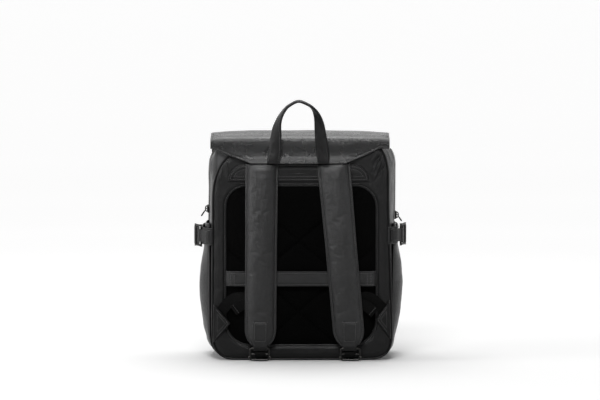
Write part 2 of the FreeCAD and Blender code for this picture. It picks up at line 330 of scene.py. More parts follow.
def edge_dist(S, closed_u=False):
    nu, nv = S.shape[:2]
    lv = np.concatenate([np.zeros((nu, 1)), np.cumsum(np.linalg.norm(np.diff(S, axis=1), axis=2), axis=1)], axis=1)
    dv = np.minimum(lv, lv[:, -1:] - lv)
    if closed_u:
        return dv, np.full((nu, nv), 1e3)
    lu = np.concatenate([np.zeros((1, nv)), np.cumsum(np.linalg.norm(np.diff(S, axis=0), axis=2), axis=0)], axis=0)
    du = np.minimum(lu, lu[-1:, :] - lu)
    return dv, du


def patch(name, S, t, body, slot, mat, disp=None, closed_u=False, side=1, roll=None, replaces=(), back=True, roll_u=True, roll_v=True):
    """Leather or webbing: S is the middle surface, disp lifts its front; both edges are rounded over.
    Returns the object, the front surface and its normals."""
    N = normals(S, closed_u) * side
    dv, du = edge_dist(S, closed_u)
    r = t / 2 if roll is None else roll

    def rolled(d):
        q = np.clip(1 - d / r, 0, 1)
        return 0.88 * (1 - np.sqrt(np.clip(1 - q * q, 0, 1)))
    e = np.zeros(S.shape[:2])
    if roll_v:
        e = np.maximum(e, rolled(dv))
    if roll_u:
        e = np.maximum(e, rolled(du))
    D = np.zeros(S.shape[:2]) if disp is None else disp
    F = S + N * (t / 2 * (1 - e) + D)[..., None]
    B = S - N * (t / 2 * (1 - e) - (D * 0.6 if back else 0))[..., None]
    ob = solid(name, F, B, body, slot, mat, closed_u, replaces)
    return ob, F, N


def outline_inset(pts, d):
    """Closed outline moved inwards by d (2-D)."""
    p = np.asarray(pts, float)
    t = np.roll(p, -1, axis=0) - np.roll(p, 1, axis=0)
    t /= np.linalg.norm(t, axis=1, keepdims=True)
    area = 0.5 * np.sum(p[:, 0] * np.roll(p[:, 1], -1) - np.roll(p[:, 0], -1) * p[:, 1])
    n = np.stack([-t[:, 1], t[:, 0]], axis=1) * (1 if area > 0 else -1)
    return p + n * d


def tube(path, r, sides=8, closed=False, squash=1.0, up=(0, 1, 0), taper=None):
    """Vertices and faces of a round (or flattened) tube along a path."""
    path = np.asarray(path, float)
    n = len(path)
    if closed:
        t = np.roll(path, -1, axis=0) - np.roll(path, 1, axis=0)
    else:
        t = np.gradient(path, axis=0)
    t /= np.linalg.norm(t, axis=1, keepdims=True)
    up = np.asarray(up, float)
    a = np.cross(t, up)
    la = np.linalg.norm(a, axis=1, keepdims=True)
    la[la < 1e-6] = 1
    a /= la
    b = np.cross(a, t)
    V = []
    for i in range(n):
        rr = r if taper is None else r * taper[i]
        for k in range(sides):
            w = 2 * math.pi * k / sides
            V.append(path[i] + a[i] * math.cos(w) * rr + b[i] * math.sin(w) * rr * squash)
    f = []
    for i in range(n if closed else n - 1):
        j = (i + 1) % n
        for k in range(sides):
            l = (k + 1) % sides
            f.append((i * sides + k, j * sides + k, j * sides + l, i * sides + l))
    if not closed:
        f.append(tuple(range(sides))[::-1])
        f.append(tuple((n - 1) * sides + k for k in range(sides)))
    return np.array(V), f


class Bag:
    """Collects many small closed shapes into one mesh."""
    def __init__(self):
        self.v, self.f, self.n = [], [], 0

    def add(self, V, F):
        self.v.append(np.asarray(V, float))
        self.f += [tuple(i + self.n for i in q) for q in F]
        self.n += len(V)

    def make(self, name, body, slot, mat, replaces=(), smooth=True):
        return finish_mesh(name, np.vstack(self.v), self.f, body, slot, mat, replaces, smooth)


STITCH = {}


def stitch(body, path, nrm, pitch=4.0, length=3.0, r=0.48, lift=0.16, closed=False):
    """A row of sewn stitches along a path that lies on a surface with normals nrm."""
    path = np.asarray(path, float)
    nrm = np.asarray(nrm, float)
    if closed:
        path = np.vstack([path, path[:1]])
        nrm = np.vstack([nrm, nrm[:1]])
    d = np.r_[0, np.cumsum(np.linalg.norm(np.diff(path, axis=0), axis=1))]
    if d[-1] < pitch:
        return
    cnt = int(d[-1] / pitch)
    p = d[-1] / cnt
    bag = STITCH.setdefault(body, Bag())
    for i in range(cnt):
        s0 = i * p + (p - length) / 2
        c = []
        for q in (0.0, 0.18, 0.5, 0.82, 1.0):
            s = s0 + q * length
            pos = np.array([np.interp(s, d, path[:, k]) for k in range(3)])
            nn = np.array([np.interp(s, d, nrm[:, k]) for k in range(3)])
            nn /= np.linalg.norm(nn) + 1e-9
            h = (-0.35, 0.6, 1.0, 0.6, -0.35)[(0.0, 0.18, 0.5, 0.82, 1.0).index(q)]
            c.append(pos + nn * (lift + r * h * 0.6))
        V, F = tube(c, r, sides=5, up=tuple(nn), taper=(0.35, 0.9, 1.0, 0.9, 0.35))
        bag.add(V, F)


# =====================================================================
# materials
# =====================================================================
def nodes_of(name):
    m = bpy.data.materials.new(name)
    m.use_nodes = True
    nt = m.node_tree
    for n in list(nt.nodes):
        nt.nodes.remove(n)
    out = nt.nodes.new("ShaderNodeOutputMaterial")
    bs = nt.nodes.new("ShaderNodeBsdfPrincipled")
    nt.links.new(bs.outputs["BSDF"], out.inputs["Surface"])
    return m, nt, bs


def add(nt, kind, **kw):
    n = nt.nodes.new(kind)
    for k, v in kw.items():
        if k.startswith("i_"):
            key = k[2:].replace("_", " ")
            n.inputs[key].default_value = v
        else:
            setattr(n, k, v)
    return n


def ramp(nt, pos, cols):
    r = nt.nodes.new("ShaderNodeValToRGB")
    e = r.color_ramp.elements
    e[0].position, e[0].color = pos[0], (*cols[0], 1)
    e[1].position, e[1].color = pos[-1], (*cols[-1], 1)
    for p, c in zip(pos[1:-1], cols[1:-1]):
        q = e.new(p)
        q.color = (*c, 1)
    return r


def g3(v):
    return (v, v, v)


def leather(name, base, rough=0.42, grain=900.0, grain_bump=0.35, fine_bump=0.25, wrinkle=0.25, tint=(1.0, 1.0, 1.04), edge_highlight=1.6, spec=0.5, pebble=0.0, var=0.35):
    m, nt, bs = nodes_of(name)
    L = nt.links
    tc = add(nt, "ShaderNodeTexCoord")
    # colour: slow patches, fine mottling, and a painted highlight on convex edges
    n1 = add(nt, "ShaderNodeTexNoise", i_Scale=14.0, i_Detail=6.0, i_Roughness=0.6)
    n2 = add(nt, "ShaderNodeTexNoise", i_Scale=210.0, i_Detail=4.0, i_Roughness=0.65)
    L.new(tc.outputs["Object"], n1.inputs["Vector"])
    L.new(tc.outputs["Object"], n2.inputs["Vector"])
    c = [base * t for t in tint]
    r1 = ramp(nt, [0.3, 0.7], [tuple(q * (1 - var) for q in c), tuple(q * (1 + var) for q in c)])
    L.new(n1.outputs["Fac"], r1.inputs["Fac"])
    mx = add(nt, "ShaderNodeMix", data_type="RGBA", blend_type="MULTIPLY")
    mx.inputs["Factor"].default_value = 0.55
    r2 = ramp(nt, [0.32, 0.68], [g3(0.55), g3(1.25)])
    L.new(n2.outputs["Fac"], r2.inputs["Fac"])
    L.new(r1.outputs["Color"], mx.inputs[6])
    L.new(r2.outputs["Color"], mx.inputs[7])
    # convex edges (high pointiness) get a brighter base colour: a painted highlight on the edges
    geo = add(nt, "ShaderNodeNewGeometry")
    rp = ramp(nt, [0.535, 0.60], [g3(0.0), g3(1.0)])
    L.new(geo.outputs["Pointiness"], rp.inputs["Fac"])
    edge = add(nt, "ShaderNodeMix", data_type="RGBA", blend_type="MIX")
    L.new(rp.outputs["Color"], edge.inputs["Factor"])
    L.new(mx.outputs[2], edge.inputs[6])
    edge.inputs[7].default_value = (c[0] * edge_highlight, c[1] * edge_highlight, c[2] * edge_highlight, 1)
    L.new(edge.outputs[2], bs.inputs["Base Color"])
    # roughness: waxy patches
    rr = ramp(nt, [0.25, 0.75], [g3(max(rough - 0.07, 0.05)), g3(rough + 0.10)])
    n3 = add(nt, "ShaderNodeTexNoise", i_Scale=38.0, i_Detail=5.0, i_Roughness=0.62)
    L.new(tc.outputs["Object"], n3.inputs["Vector"])
    L.new(n3.outputs["Fac"], rr.inputs["Fac"])
    L.new(rr.outputs["Color"], bs.inputs["Roughness"])
    # relief: pebbles, pores, soft creases
    vor = add(nt, "ShaderNodeTexVoronoi", feature="DISTANCE_TO_EDGE", i_Scale=grain)
    warp = add(nt, "ShaderNodeTexNoise", i_Scale=grain * 0.45, i_Detail=2.0)
    wm = add(nt, "ShaderNodeMix", data_type="VECTOR")
    wm.inputs["Factor"].default_value = 0.0015
    L.new(tc.outputs["Object"], warp.inputs["Vector"])
    L.new(tc.outputs["Object"], wm.inputs[4])
    L.new(warp.outputs["Color"], wm.inputs[5])
    L.new(wm.outputs[1], vor.inputs["Vector"])
    vr = ramp(nt, [0.0, 0.22], [g3(0.0), g3(1.0)])
    L.new(vor.outputs["Distance"], vr.inputs["Fac"])
    b1 = add(nt, "ShaderNodeBump", i_Strength=grain_bump, i_Distance=0.00032 + 0.0003 * pebble)
    L.new(vr.outputs["Color"], b1.inputs["Height"])
    b2 = add(nt, "ShaderNodeBump", i_Strength=fine_bump, i_Distance=0.0006)
    L.new(n2.outputs["Fac"], b2.inputs["Height"])
    L.new(b1.outputs["Normal"], b2.inputs["Normal"])
    b3 = add(nt, "ShaderNodeBump", i_Strength=wrinkle, i_Distance=0.0030)
    L.new(n3.outputs["Fac"], b3.inputs["Height"])
    L.new(b2.outputs["Normal"], b3.inputs["Normal"])
    L.new(b3.outputs["Normal"], bs.inputs["Normal"])
    bs.inputs["Specular IOR Level"].default_value = spec
    bs.inputs["Sheen Weight"].default_value = 0.0
    bs.inputs["Coat Weight"].default_value = 0.0
    return m


def woven(name, base, scale=900.0, rough=0.8, bump=0.6, rot=45.0, contrast=0.5, spec=0.25, sheen=0.15):
    """Knit or weave: two sets of fine bands that cross."""
    m, nt, bs = nodes_of(name)
    L = nt.links
    tc = add(nt, "ShaderNodeTexCoord")
    outs = []
    for sgn in (1, -1):
        mp = add(nt, "ShaderNodeMapping")
        mp.inputs["Rotation"].default_value = (0, math.radians(rot) * sgn, 0)
        L.new(tc.outputs["Object"], mp.inputs["Vector"])
        w = add(nt, "ShaderNodeTexWave", wave_type="BANDS", bands_direction="X", i_Scale=scale / 6.2832 * 0.5, i_Distortion=0.6, i_Detail=1.0)
        L.new(mp.outputs["Vector"], w.inputs["Vector"])
        outs.append(w)
    mul = add(nt, "ShaderNodeMath", operation="MULTIPLY")
    L.new(outs[0].outputs["Fac"], mul.inputs[0])
    L.new(outs[1].outputs["Fac"], mul.inputs[1])
    n1 = add(nt, "ShaderNodeTexNoise", i_Scale=22.0, i_Detail=5.0)
    L.new(tc.outputs["Object"], n1.inputs["Vector"])
    r1 = ramp(nt, [0.0, 1.0], [g3(base * (1 - contrast)), g3(base * (1 + contrast))])
    L.new(mul.outputs[0], r1.inputs["Fac"])
    mx = add(nt, "ShaderNodeMix", data_type="RGBA", blend_type="MULTIPLY")
    mx.inputs["Factor"].default_value = 0.5
    r2 = ramp(nt, [0.3, 0.7], [g3(0.6), g3(1.3)])
    L.new(n1.outputs["Fac"], r2.inputs["Fac"])
    L.new(r1.outputs["Color"], mx.inputs[6])
    L.new(r2.outputs["Color"], mx.inputs[7])
    L.new(mx.outputs[2], bs.inputs["Base Color"])
    b = add(nt, "ShaderNodeBump", i_Strength=bump, i_Distance=0.0005)
    L.new(mul.outputs[0], b.inputs["Height"])
    L.new(b.outputs["Normal"], bs.inputs["Normal"])
    rr = ramp(nt, [0.2, 0.8], [g3(rough - 0.08), g3(min(rough + 0.08, 1.0))])
    L.new(n1.outputs["Fac"], rr.inputs["Fac"])
    L.new(rr.outputs["Color"], bs.inputs["Roughness"])
    bs.inputs["Specular IOR Level"].default_value = spec
    bs.inputs["Sheen Weight"].default_value = sheen
    bs.inputs["Sheen Roughness"].default_value = 0.5
    return m


def metal(name, base, rough=0.3, metallic=1.0):
    m, nt, bs = nodes_of(name)
    L = nt.links
    tc = add(nt, "ShaderNodeTexCoord")
    n1 = add(nt, "ShaderNodeTexNoise", i_Scale=160.0, i_Detail=6.0, i_Roughness=0.7)
    L.new(tc.outputs["Object"], n1.inputs["Vector"])
    r1 = ramp(nt, [0.3, 0.7], [g3(base * 0.75), g3(base * 1.25)])
    L.new(n1.outputs["Fac"], r1.inputs["Fac"])
    geo = add(nt, "ShaderNodeNewGeometry")
    rp = ramp(nt, [0.52, 0.60], [g3(0.0), g3(1.0)])
    L.new(geo.outputs["Pointiness"], rp.inputs["Fac"])
    mx = add(nt, "ShaderNodeMix", data_type="RGBA", blend_type="MIX")
    L.new(rp.outputs["Color"], mx.inputs["Factor"])
    L.new(r1.outputs["Color"], mx.inputs[6])
    mx.inputs[7].default_value = (base * 2.0, base * 1.95, base * 1.85, 1)
    L.new(mx.outputs[2], bs.inputs["Base Color"])
    rr = ramp(nt, [0.3, 0.7], [g3(rough - 0.06), g3(rough + 0.1)])
    L.new(n1.outputs["Fac"], rr.inputs["Fac"])
    L.new(rr.outputs["Color"], bs.inputs["Roughness"])
    b = add(nt, "ShaderNodeBump", i_Strength=0.12, i_Distance=0.0002)
    L.new(n1.outputs["Fac"], b.inputs["Height"])
    L.new(b.outputs["Normal"], bs.inputs["Normal"])
    bs.inputs["Metallic"].default_value = metallic
    return m


M_BODY = leather("leather_body", 0.0052, rough=0.36, grain=640.0, grain_bump=0.50, fine_bump=0.36, wrinkle=0.30, spec=0.34, edge_highlight=3.5)
# a darker copy of the body leather for the back frame: painted shade
M_BACK_PAINTED_SHADE = leather("leather_back_painted_shade", 0.0036, rough=0.35, grain=640.0, grain_bump=0.50, fine_bump=0.36, wrinkle=0.30, spec=0.20, edge_highlight=5.0)
M_TRIM = leather("leather_trim", 0.0030, rough=0.33, grain=700.0, grain_bump=0.42, fine_bump=0.28, wrinkle=0.18, spec=0.20, edge_highlight=9.0)
M_FLAP = leather("leather_flap", 0.0046, rough=0.27, grain=640.0, grain_bump=0.50, fine_bump=0.34, wrinkle=0.12, spec=0.36, edge_highlight=4.0)
M_STRAP = leather("leather_strap", 0.0082, rough=0.37, grain=620.0, grain_bump=0.50, fine_bump=0.38, wrinkle=0.24, spec=0.35, edge_highlight=5.0)
# a lighter copy of the trim leather for the strap tabs: painted light on the tab loop
M_TAB_PAINTED_LIGHT = leather("leather_strap_tab", 0.0074, rough=0.36, grain=700.0, grain_bump=0.42, fine_bump=0.28, wrinkle=0.12, spec=0.30, edge_highlight=6.0)
M_BAND = leather("leather_band", 0.0070, rough=0.42, grain=520.0, grain_bump=0.7, fine_bump=0.42, wrinkle=0.12, pebble=0.5, spec=0.28, edge_highlight=6.0)
# the piping is darker than the body leather: partly the cord's own colour, partly a painted shade for the seam groove
M_PIPE = leather("piping", 0.0022, rough=0.45, grain=900.0, grain_bump=0.2, fine_bump=0.2, wrinkle=0.05, spec=0.2)
M_EDGE = leather("cut_edge", 0.0080, rough=0.6, grain=1200.0, grain_bump=0.2, fine_bump=0.3, wrinkle=0.0, spec=0.3)
M_MESH = woven("air_mesh", 0.0004, scale=2600.0, rough=0.75, bump=0.9, rot=38.0, contrast=0.7, spec=0.03, sheen=0.004)
M_WEB = woven("webbing", 0.0011, scale=3200.0, rough=0.7, bump=0.8, rot=30.0, contrast=0.5, spec=0.07, sheen=0.01)
M_TAPE = woven("zip_tape", 0.0040, scale=4200.0, rough=0.75, bump=0.6, rot=20.0, contrast=0.4, spec=0.18, sheen=0.05)
M_LINING = woven("lining", 0.030, scale=4200.0, rough=0.8, bump=0.5, rot=45.0, contrast=0.25, spec=0.25, sheen=0.08)
M_THREAD = woven("thread", 0.045, scale=6000.0, rough=0.6, bump=0.3, rot=30.0, contrast=0.3, spec=0.35, sheen=0.05)
M_METAL = metal("gunmetal", 0.022, rough=0.28)
M_TEETH = metal("zip_teeth", 0.060, rough=0.34)
M_SNAP = metal("magnet", 0.40, rough=0.28)
M_BOARD = leather("board", 0.02, rough=0.6, grain=1500.0, grain_bump=0.1, fine_bump=0.1, wrinkle=0.0)


# =====================================================================
# back panel: leather frame round the mesh window
# =====================================================================
OUT_KEYS = [(0, 3), (60, 3), (110, 3), (134, 4.5), (149, 11), (157, 23), (159.5, 42), (159.5, 75), (158.5, 115), (157, 165), (155, 225),
            (153.5, 280), (153.5, 318), (151, 345), (145, 363), (134, 377), (112, 384), (40, 385), (-40, 385), (-88, 383), (-104, 377),
            (-119, 362), (-134, 347), (-145, 325), (-150.5, 298), (-151.5, 250), (-152, 180), (-152.5, 100), (-152, 42), (-148, 22),
            (-139, 10), (-126, 4), (-100, 3), (-60, 3)]
outer = resample(catmull(OUT_KEYS, 14, True), n=760, closed=True)


def rrect(x0, x1, z0, z1, rb, rt, n=14):
    p = []
    for cx, cz, r, a in ((x1 - rb, z0 + rb, rb, -90), (x1 - rt, z1 - rt, rt, 0), (x0 + rt, z1 - rt, rt, 90), (x0 + rb, z0 + rb, rb, 180)):
        for i in range(n + 1):
            w = math.radians(a + 90.0 * i / n)
            p.append((cx + r * math.cos(w), cz + r * math.sin(w)))
    return np.array(p)


WX0, WX1, WZ0, WZ1 = -128.5, 131.6, 28.0, 304.8
win = resample(rrect(WX0, WX1, WZ0, WZ1, 42, 35), step=0.8, closed=True)
near = win[np.argmin(((outer[:, None, :] - win[None, :, :]) ** 2).sum(-1), axis=1)]
# spread the inner ends a little, so that no two samples share a point
k = np.ones(9) / 9
pad_ = 4
near = np.stack([np.convolve(np.r_[near[-pad_:, c], near[:, c], near[:pad_, c]], k, "valid") for c in (0, 1)], axis=1)
wid = np.linalg.norm(outer - near, axis=1)
din = [0, 0.35, 0.9, 1.8, 2.8, 3.3, 3.9, 5.0, 7.0]
dout = [7.0, 4.5, 2.6, 1.4, 0.6, 0.0]
nmid = 16
rows = []
for i in range(len(outer)):
    w = wid[i]
    d = list(din) + list(np.linspace(7.0, w - 7.0, nmid + 2)[1:-1]) + [w - q for q in dout]
    rows.append(d)
D = np.array(rows)
tdir = (outer - near) / wid[:, None]
XZ = near[:, None, :] + tdir[:, None, :] * D[..., None]
DO = wid[:, None] - D


def corner_wrinkles(X, Z):
    """Creases that run down and out from the two ends of the flap's lower edge."""
    out = np.zeros_like(X)
    for cx, cz, sg, amp, reach in ((150.0, 372.0, 1, 3.4, 100.0), (-132.0, 372.0, -1, 3.2, 74.0)):
        dx, dz = (X - cx), (Z - cz)
        r = np.hypot(dx, dz)
        ang = np.arctan2(dz, dx * sg)
        p = np.stack([ang * 46.0, np.full_like(r, 3.0 * sg), r * 0.22], axis=-1)
        w = smooth01(1 - r / reach) * smooth01(r / 14.0)
        q = fbm(p, 9.0, 3.3 + sg, 3)
        out += amp * w * (1 - 2.4 * np.abs(q))
    return out


X, Z = XZ[..., 0], XZ[..., 1]
P3 = np.stack([X, np.zeros_like(X), Z], axis=-1)
crown = 2.2 * smooth01(D / 9.0) * smooth01(DO / 10.0)
groove = -1.0 * np.exp(-((D - 3.3) / 0.8) ** 2)
soft = 0.7 * fbm(P3, 34.0, 1.2, 3) * smooth01(D / 8) * smooth01(DO / 8) + 0.22 * fbm(P3, 11.0, 7.7, 2)
wr = corner_wrinkles(X, Z) * smooth01(D / 6) * smooth01(DO / 5)
under = smooth01((128 - np.abs(X)) / 6.0) * smooth01((Z - 306) / 6.0)
wr = wr * (1 - under)
soft = soft * (1 - 0.7 * under)
edge_z = np.where(X < -86, 345.5 + 26.0 * np.clip((-86 - X) / 66.0, 0, 1) ** 0.85, np.where(X > 79, 345.5 + 26.5 * np.clip((X - 79) / 60.0, 0, 1) ** 0.9, 345.5))
hid = smooth01((Z - edge_z) / 5.0)
wr, soft, crown = wr * (1 - hid), soft * (1 - 0.8 * hid), crown * (1 - 0.35 * hid)
pull = -1.8 * (1 - smooth01(DO / 3.0))
rim = -0.9 * (1 - smooth01(D / 1.2))
# the leather gathers a little along the right seam above the corner tab
rip = 0.9 * np.exp(-(DO / 11.0) ** 2) * np.sin(Z / 7.3 + 1.5 * fbm(P3, 30.0, 5.0, 2)) * smooth01((Z - 60) / 40) * 0.5
YF = -(71.2 + crown + groove + soft + wr + pull + rim + rip * smooth01(DO / 2))
F = np.stack([X, YF, Z], axis=-1)
B = np.stack([X, np.full_like(X, -68.2), Z], axis=-1)
solid("back_frame_leather", F, B, "bag", "leather_body", M_BACK_PAINTED_SHADE, closed_u=True, replaces=("back_frame",))
gi = din.index(3.3)
stitch("bag", F[:, gi], np.tile([0, -1.0, 0], (len(F), 1)), closed=True, pitch=3.9)


def frame_y(x, z):
    return -73.4


# piping round the panel
pipe_path = outline_inset(outer, -0.9)
pp = np.stack([pipe_path[:, 0], np.full(len(pipe_path), -69.4), np.maximum(pipe_path[:, 1], 2.0)], axis=-1)
sel = pp[:, 2] < 372
i0 = int(np.argmax(~sel))
pp = np.roll(pp, -i0, axis=0)
pp = pp[pp[:, 2] < 372]
V_, F_ = tube(resample(pp, 2.5), 1.75, sides=8)
finish_mesh("back_piping_cord", V_, F_, "bag", "piping", M_PIPE, ("back_piping",))

# =====================================================================
# mesh pad with quilting
# =====================================================================
def win_half(z):
    """Left and right edge of the window at height z."""
    r = 0.0
    if z < WZ0 + 42:
        q = 42 - (z - WZ0)
        r = 42 - math.sqrt(max(42 ** 2 - q * q, 0))
    elif z > WZ1 - 35:
        q = 35 - (WZ1 - z)
        r = 35 - math.sqrt(max(35 ** 2 - q * q, 0))
    return WX0 + r, WX1 - r


QL = []      # quilting lines as (x, z) pairs
def px(x, y):
    return ((x - 300.0) * 1.75, (359.0 - y) * 1.75)
for a, b in (((299, 239), (226, 176)), ((299, 239), (376, 176)), ((299, 239), (243.6, 258.2 + 27)), ((299, 239), (366, 296)),
             ((298.5, 310), (228.8, 247.7)), ((298.5, 310), (373.7, 245.2)), ((298.5, 310), (240, 363)), ((298.5, 310), (360, 364))):
    QL.append((np.array(px(*a)), np.array(px(*b))))
zs = np.array(sorted(set(np.r_[np.linspace(WZ0, WZ1, 182), WZ0 + 0.4, WZ0 + 1.0, WZ1 - 0.4, WZ1 - 1.0])))
us = np.r_[-1, -0.995, -0.985, np.linspace(-0.97, 0.97, 170), 0.985, 0.995, 1]
PX = np.zeros((len(zs), len(us)))
PZ = np.zeros_like(PX)
for i, z in enumerate(zs):
    a, b = win_half(min(max(z, WZ0 + 0.05), WZ1 - 0.05))
    PX[i] = (a + b) / 2 + us * (b - a) / 2
    PZ[i] = z
dedge = np.full_like(PX, 1e9)
flat_pts = np.stack([PX, PZ], axis=-1)
wsub = win[::3]
for i in range(len(zs)):
    dd = np.sqrt(((flat_pts[i][:, None, :] - wsub[None, :, :]) ** 2).sum(-1)).min(axis=1)
    dedge[i] = dd
dq = np.full_like(PX, 1e9)
for a, b in QL:
    ab = b - a
    t = np.clip(((flat_pts - a) @ ab) / (ab @ ab), 0, 1)
    dq = np.minimum(dq, np.linalg.norm(flat_pts - (a + t[..., None] * ab), axis=-1))
P3 = np.stack([PX, np.zeros_like(PX), PZ], axis=-1)
puff = 7.4 * (1 - np.exp(-dedge / 11.0))
quilt = -3.4 * np.exp(-(dq / 4.2)) - 0.6 * np.exp(-(dq / 0.9) ** 2)
PY = -(69.9 + puff + quilt * smooth01(dedge / 6) + 0.35 * fbm(P3, 26.0, 9.1, 3))
Fp = np.stack([PX, PY, PZ], axis=-1)
Bp = np.stack([PX, np.full_like(PX, -68.3), PZ], axis=-1)
pad = solid("back_mesh_pad", Fp, Bp, "bag", "mesh", M_MESH, replaces=("back_pad",))
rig.padded(pad, fill=0.5)


def on_pad(x, z, lift=0.0):
    """Outer surface of the pad or the frame at x, z."""
    i = int(np.clip(np.searchsorted(zs, z), 0, len(zs) - 1))
    if z < WZ0 or z > WZ1 or x < PX[i, 0] or x > PX[i, -1]:
        return -73.2 - lift
    return float(np.interp(x, PX[i], PY[i])) - lift


for a, b in QL:
    n = 60
    pts = []
    for t in np.linspace(0, 1, n):
        q = a + (b - a) * t
        i = int(np.clip(np.searchsorted(zs, q[1]), 0, len(zs) - 1))
        if q[1] < WZ0 + 4 or q[1] > WZ1 - 4 or q[0] < PX[i, 0] + 4 or q[0] > PX[i, -1] - 4:
            continue
        pts.append((q[0], on_pad(q[0], q[1], 0.05), q[1]))
    if len(pts) > 3:
        stitch("mesh", np.array(pts), np.tile([0, -1.0, 0], (len(pts), 1)), pitch=4.2, length=3.2, r=0.38)

# =====================================================================
# luggage band
# =====================================================================
bx = [(-129.2, -73.5), (-127.5, -78.0), (-122, -81.6), (-108, -83.6), (-60, -84.4), (0, -84.6), (60, -84.4), (110, -83.6), (125, -81.6), (130.6, -78.0), (132.2, -73.5)]
bp = resample(catmull(bx, 10), 2.2)
vz = ticks(26.2, 2.6, grooves=(3.4, 22.8))
S = np.zeros((len(bp), len(vz), 3))
S[..., 0] = bp[:, None, 0]
S[..., 1] = bp[:, None, 1]
S[..., 2] = 131.4 + vz[None, :]
g = -0.45 * (np.exp(-((vz - 3.4) / 0.8) ** 2) + np.exp(-((vz - 22.8) / 0.8) ** 2))
D_ = np.tile(g, (len(bp), 1)) + 0.5 * smooth01(np.minimum(vz - 3.4, 22.8 - vz) / 5)[None, :] + 0.12 * fbm(S, 9.0, 2.0, 2)
ob, Fb, Nb = patch("luggage_band_leather", S, 1.9, "bag", "leather_band", M_BAND, disp=D_, side=1 if normals(S)[5, 5, 1] < 0 else -1, replaces=("luggage_band",))
for gz in (3.4, 22.8):
    j = int(np.argmin(abs(vz - gz)))
    stitch("bag", Fb[4:-4, j], Nb[4:-4, j], pitch=3.9)
for i in (6, 9, len(bp) - 7, len(bp) - 10):
    stitch("bag", Fb[i, 4:-4], Nb[i, 4:-4], pitch=3.9)

# =====================================================================
# star-shaped flat pieces (yoke, corner tabs)
# =====================================================================
def plate(name, outline, yfun, t, body, slot, mat, replaces=(), lines=(), closed=True, crown_h=0.5, ang_step=1.6, noise_amp=0.12, seed=0.0, incentre=None):
    """A leather patch on the back panel. lines: insets (mm) that get a sewn groove; returns the front ring at each line."""
    o = resample(outline, ang_step, closed=True)
    cen = o.mean(axis=0)
    ins = [0.0, 0.35, 0.8, 1.5, 2.4]
    for l in lines:
        ins += [l - 0.9, l, l + 0.9]
    ins = sorted(set(ins))
    rmin = np.linalg.norm(o - cen, axis=1)
    rings, depth = [], []
    for d in ins:
        if incentre is None:
            q = outline_inset(o, d)
            # square corners collapse to a point instead of crossing
            q = np.stack([np.clip(q[:, 0], o[:, 0].min() + d, o[:, 0].max() - d), np.clip(q[:, 1], o[:, 1].min() + d, o[:, 1].max() - d)], axis=1)
        else:
            cc_ = np.array(incentre[:2])
            q = cc_ + (o - cc_) * (1 - d / incentre[2])
        rings.append(q)
        depth.append(d)
    last = rings[-1]
    for s in (0.82, 0.62, 0.4, 0.2, 0.02):
        rings.append(cen + (last - cen) * s)
        depth.append(depth[len(ins) - 1] + (1 - s) * 12)
    R = np.stack(rings, axis=1)                     # (n, rings, 2)
    n, m = R.shape[:2]
    X_, Z_ = R[..., 0], R[..., 1]
    Yb = np.array([[yfun(X_[i, j], Z_[i, j]) for j in range(m)] for i in range(n)])
    dep = np.array(depth)
    rollr = t * 0.6
    e = np.where(dep < rollr, 1 - np.sqrt(np.clip(1 - (1 - dep / rollr) ** 2, 0, 1)), 0) * t * 0.85
    gr = np.zeros(m)
    for l in lines:
        gr -= 0.5 * np.exp(-((dep - l) / 0.8) ** 2)
    cr = crown_h * smooth01(dep / 8.0)
    P_ = np.stack([X_, np.zeros_like(X_), Z_], axis=-1)
    nz = noise_amp * fbm(P_, 10.0, seed, 2)
    YF_ = Yb - t + e[None, :] - gr[None, :] - cr[None, :] - nz
    F_ = np.stack([X_, YF_, Z_], axis=-1)
    B_ = np.stack([X_, Yb - 0.02 * e[None, :], Z_], axis=-1)
    ob_ = solid(name, F_, B_, body, slot, mat, closed_u=True, replaces=replaces)
    res = {}
    for l in lines:
        res[l] = F_[:, ins.index(l)]
    return ob_, res


def arc_pts(cx, cz, r, a0, a1, n):
    return [(cx + r * math.cos(math.radians(a0 + (a1 - a0) * i / n)), cz + r * math.sin(math.radians(a0 + (a1 - a0) * i / n))) for i in range(n + 1)]


yoke_o = [(-125, 314.5), (120, 314.5)] + arc_pts(92, 316, 28, 0, 90, 12) + [(0, 345.5)] + arc_pts(-97, 316, 28, 90, 180, 12)
ob, yl = plate("shoulder_yoke_patch", yoke_o, lambda x, z: -74.1, 2.4, "bag", "leather_trim", M_TRIM, replaces=("shoulder_yoke",), lines=(3.4, 9.0), seed=4.0)
for l, ring in yl.items():
    keep_ = ring[:, 2] < 343.0
    i0 = int(np.argmin(keep_)) if (~keep_).any() else 0
    r_ = np.roll(ring, -i0, axis=0)
    stitch("bag", r_, np.tile([0, -1.0, 0], (len(r_), 1)), pitch=3.9)
# the strip of frame leather above the window has its own sewn line
ln = np.array([(x, -74.3, 310.6) for x in np.linspace(-104, 104, 60)])
stitch("bag", ln, np.tile([0, -1.0, 0], (60, 1)), pitch=3.9)


def tab_y(x, z):
    q = smooth01((150 - abs(x)) / 16.0)
    return -75.4 - 2.6 * q


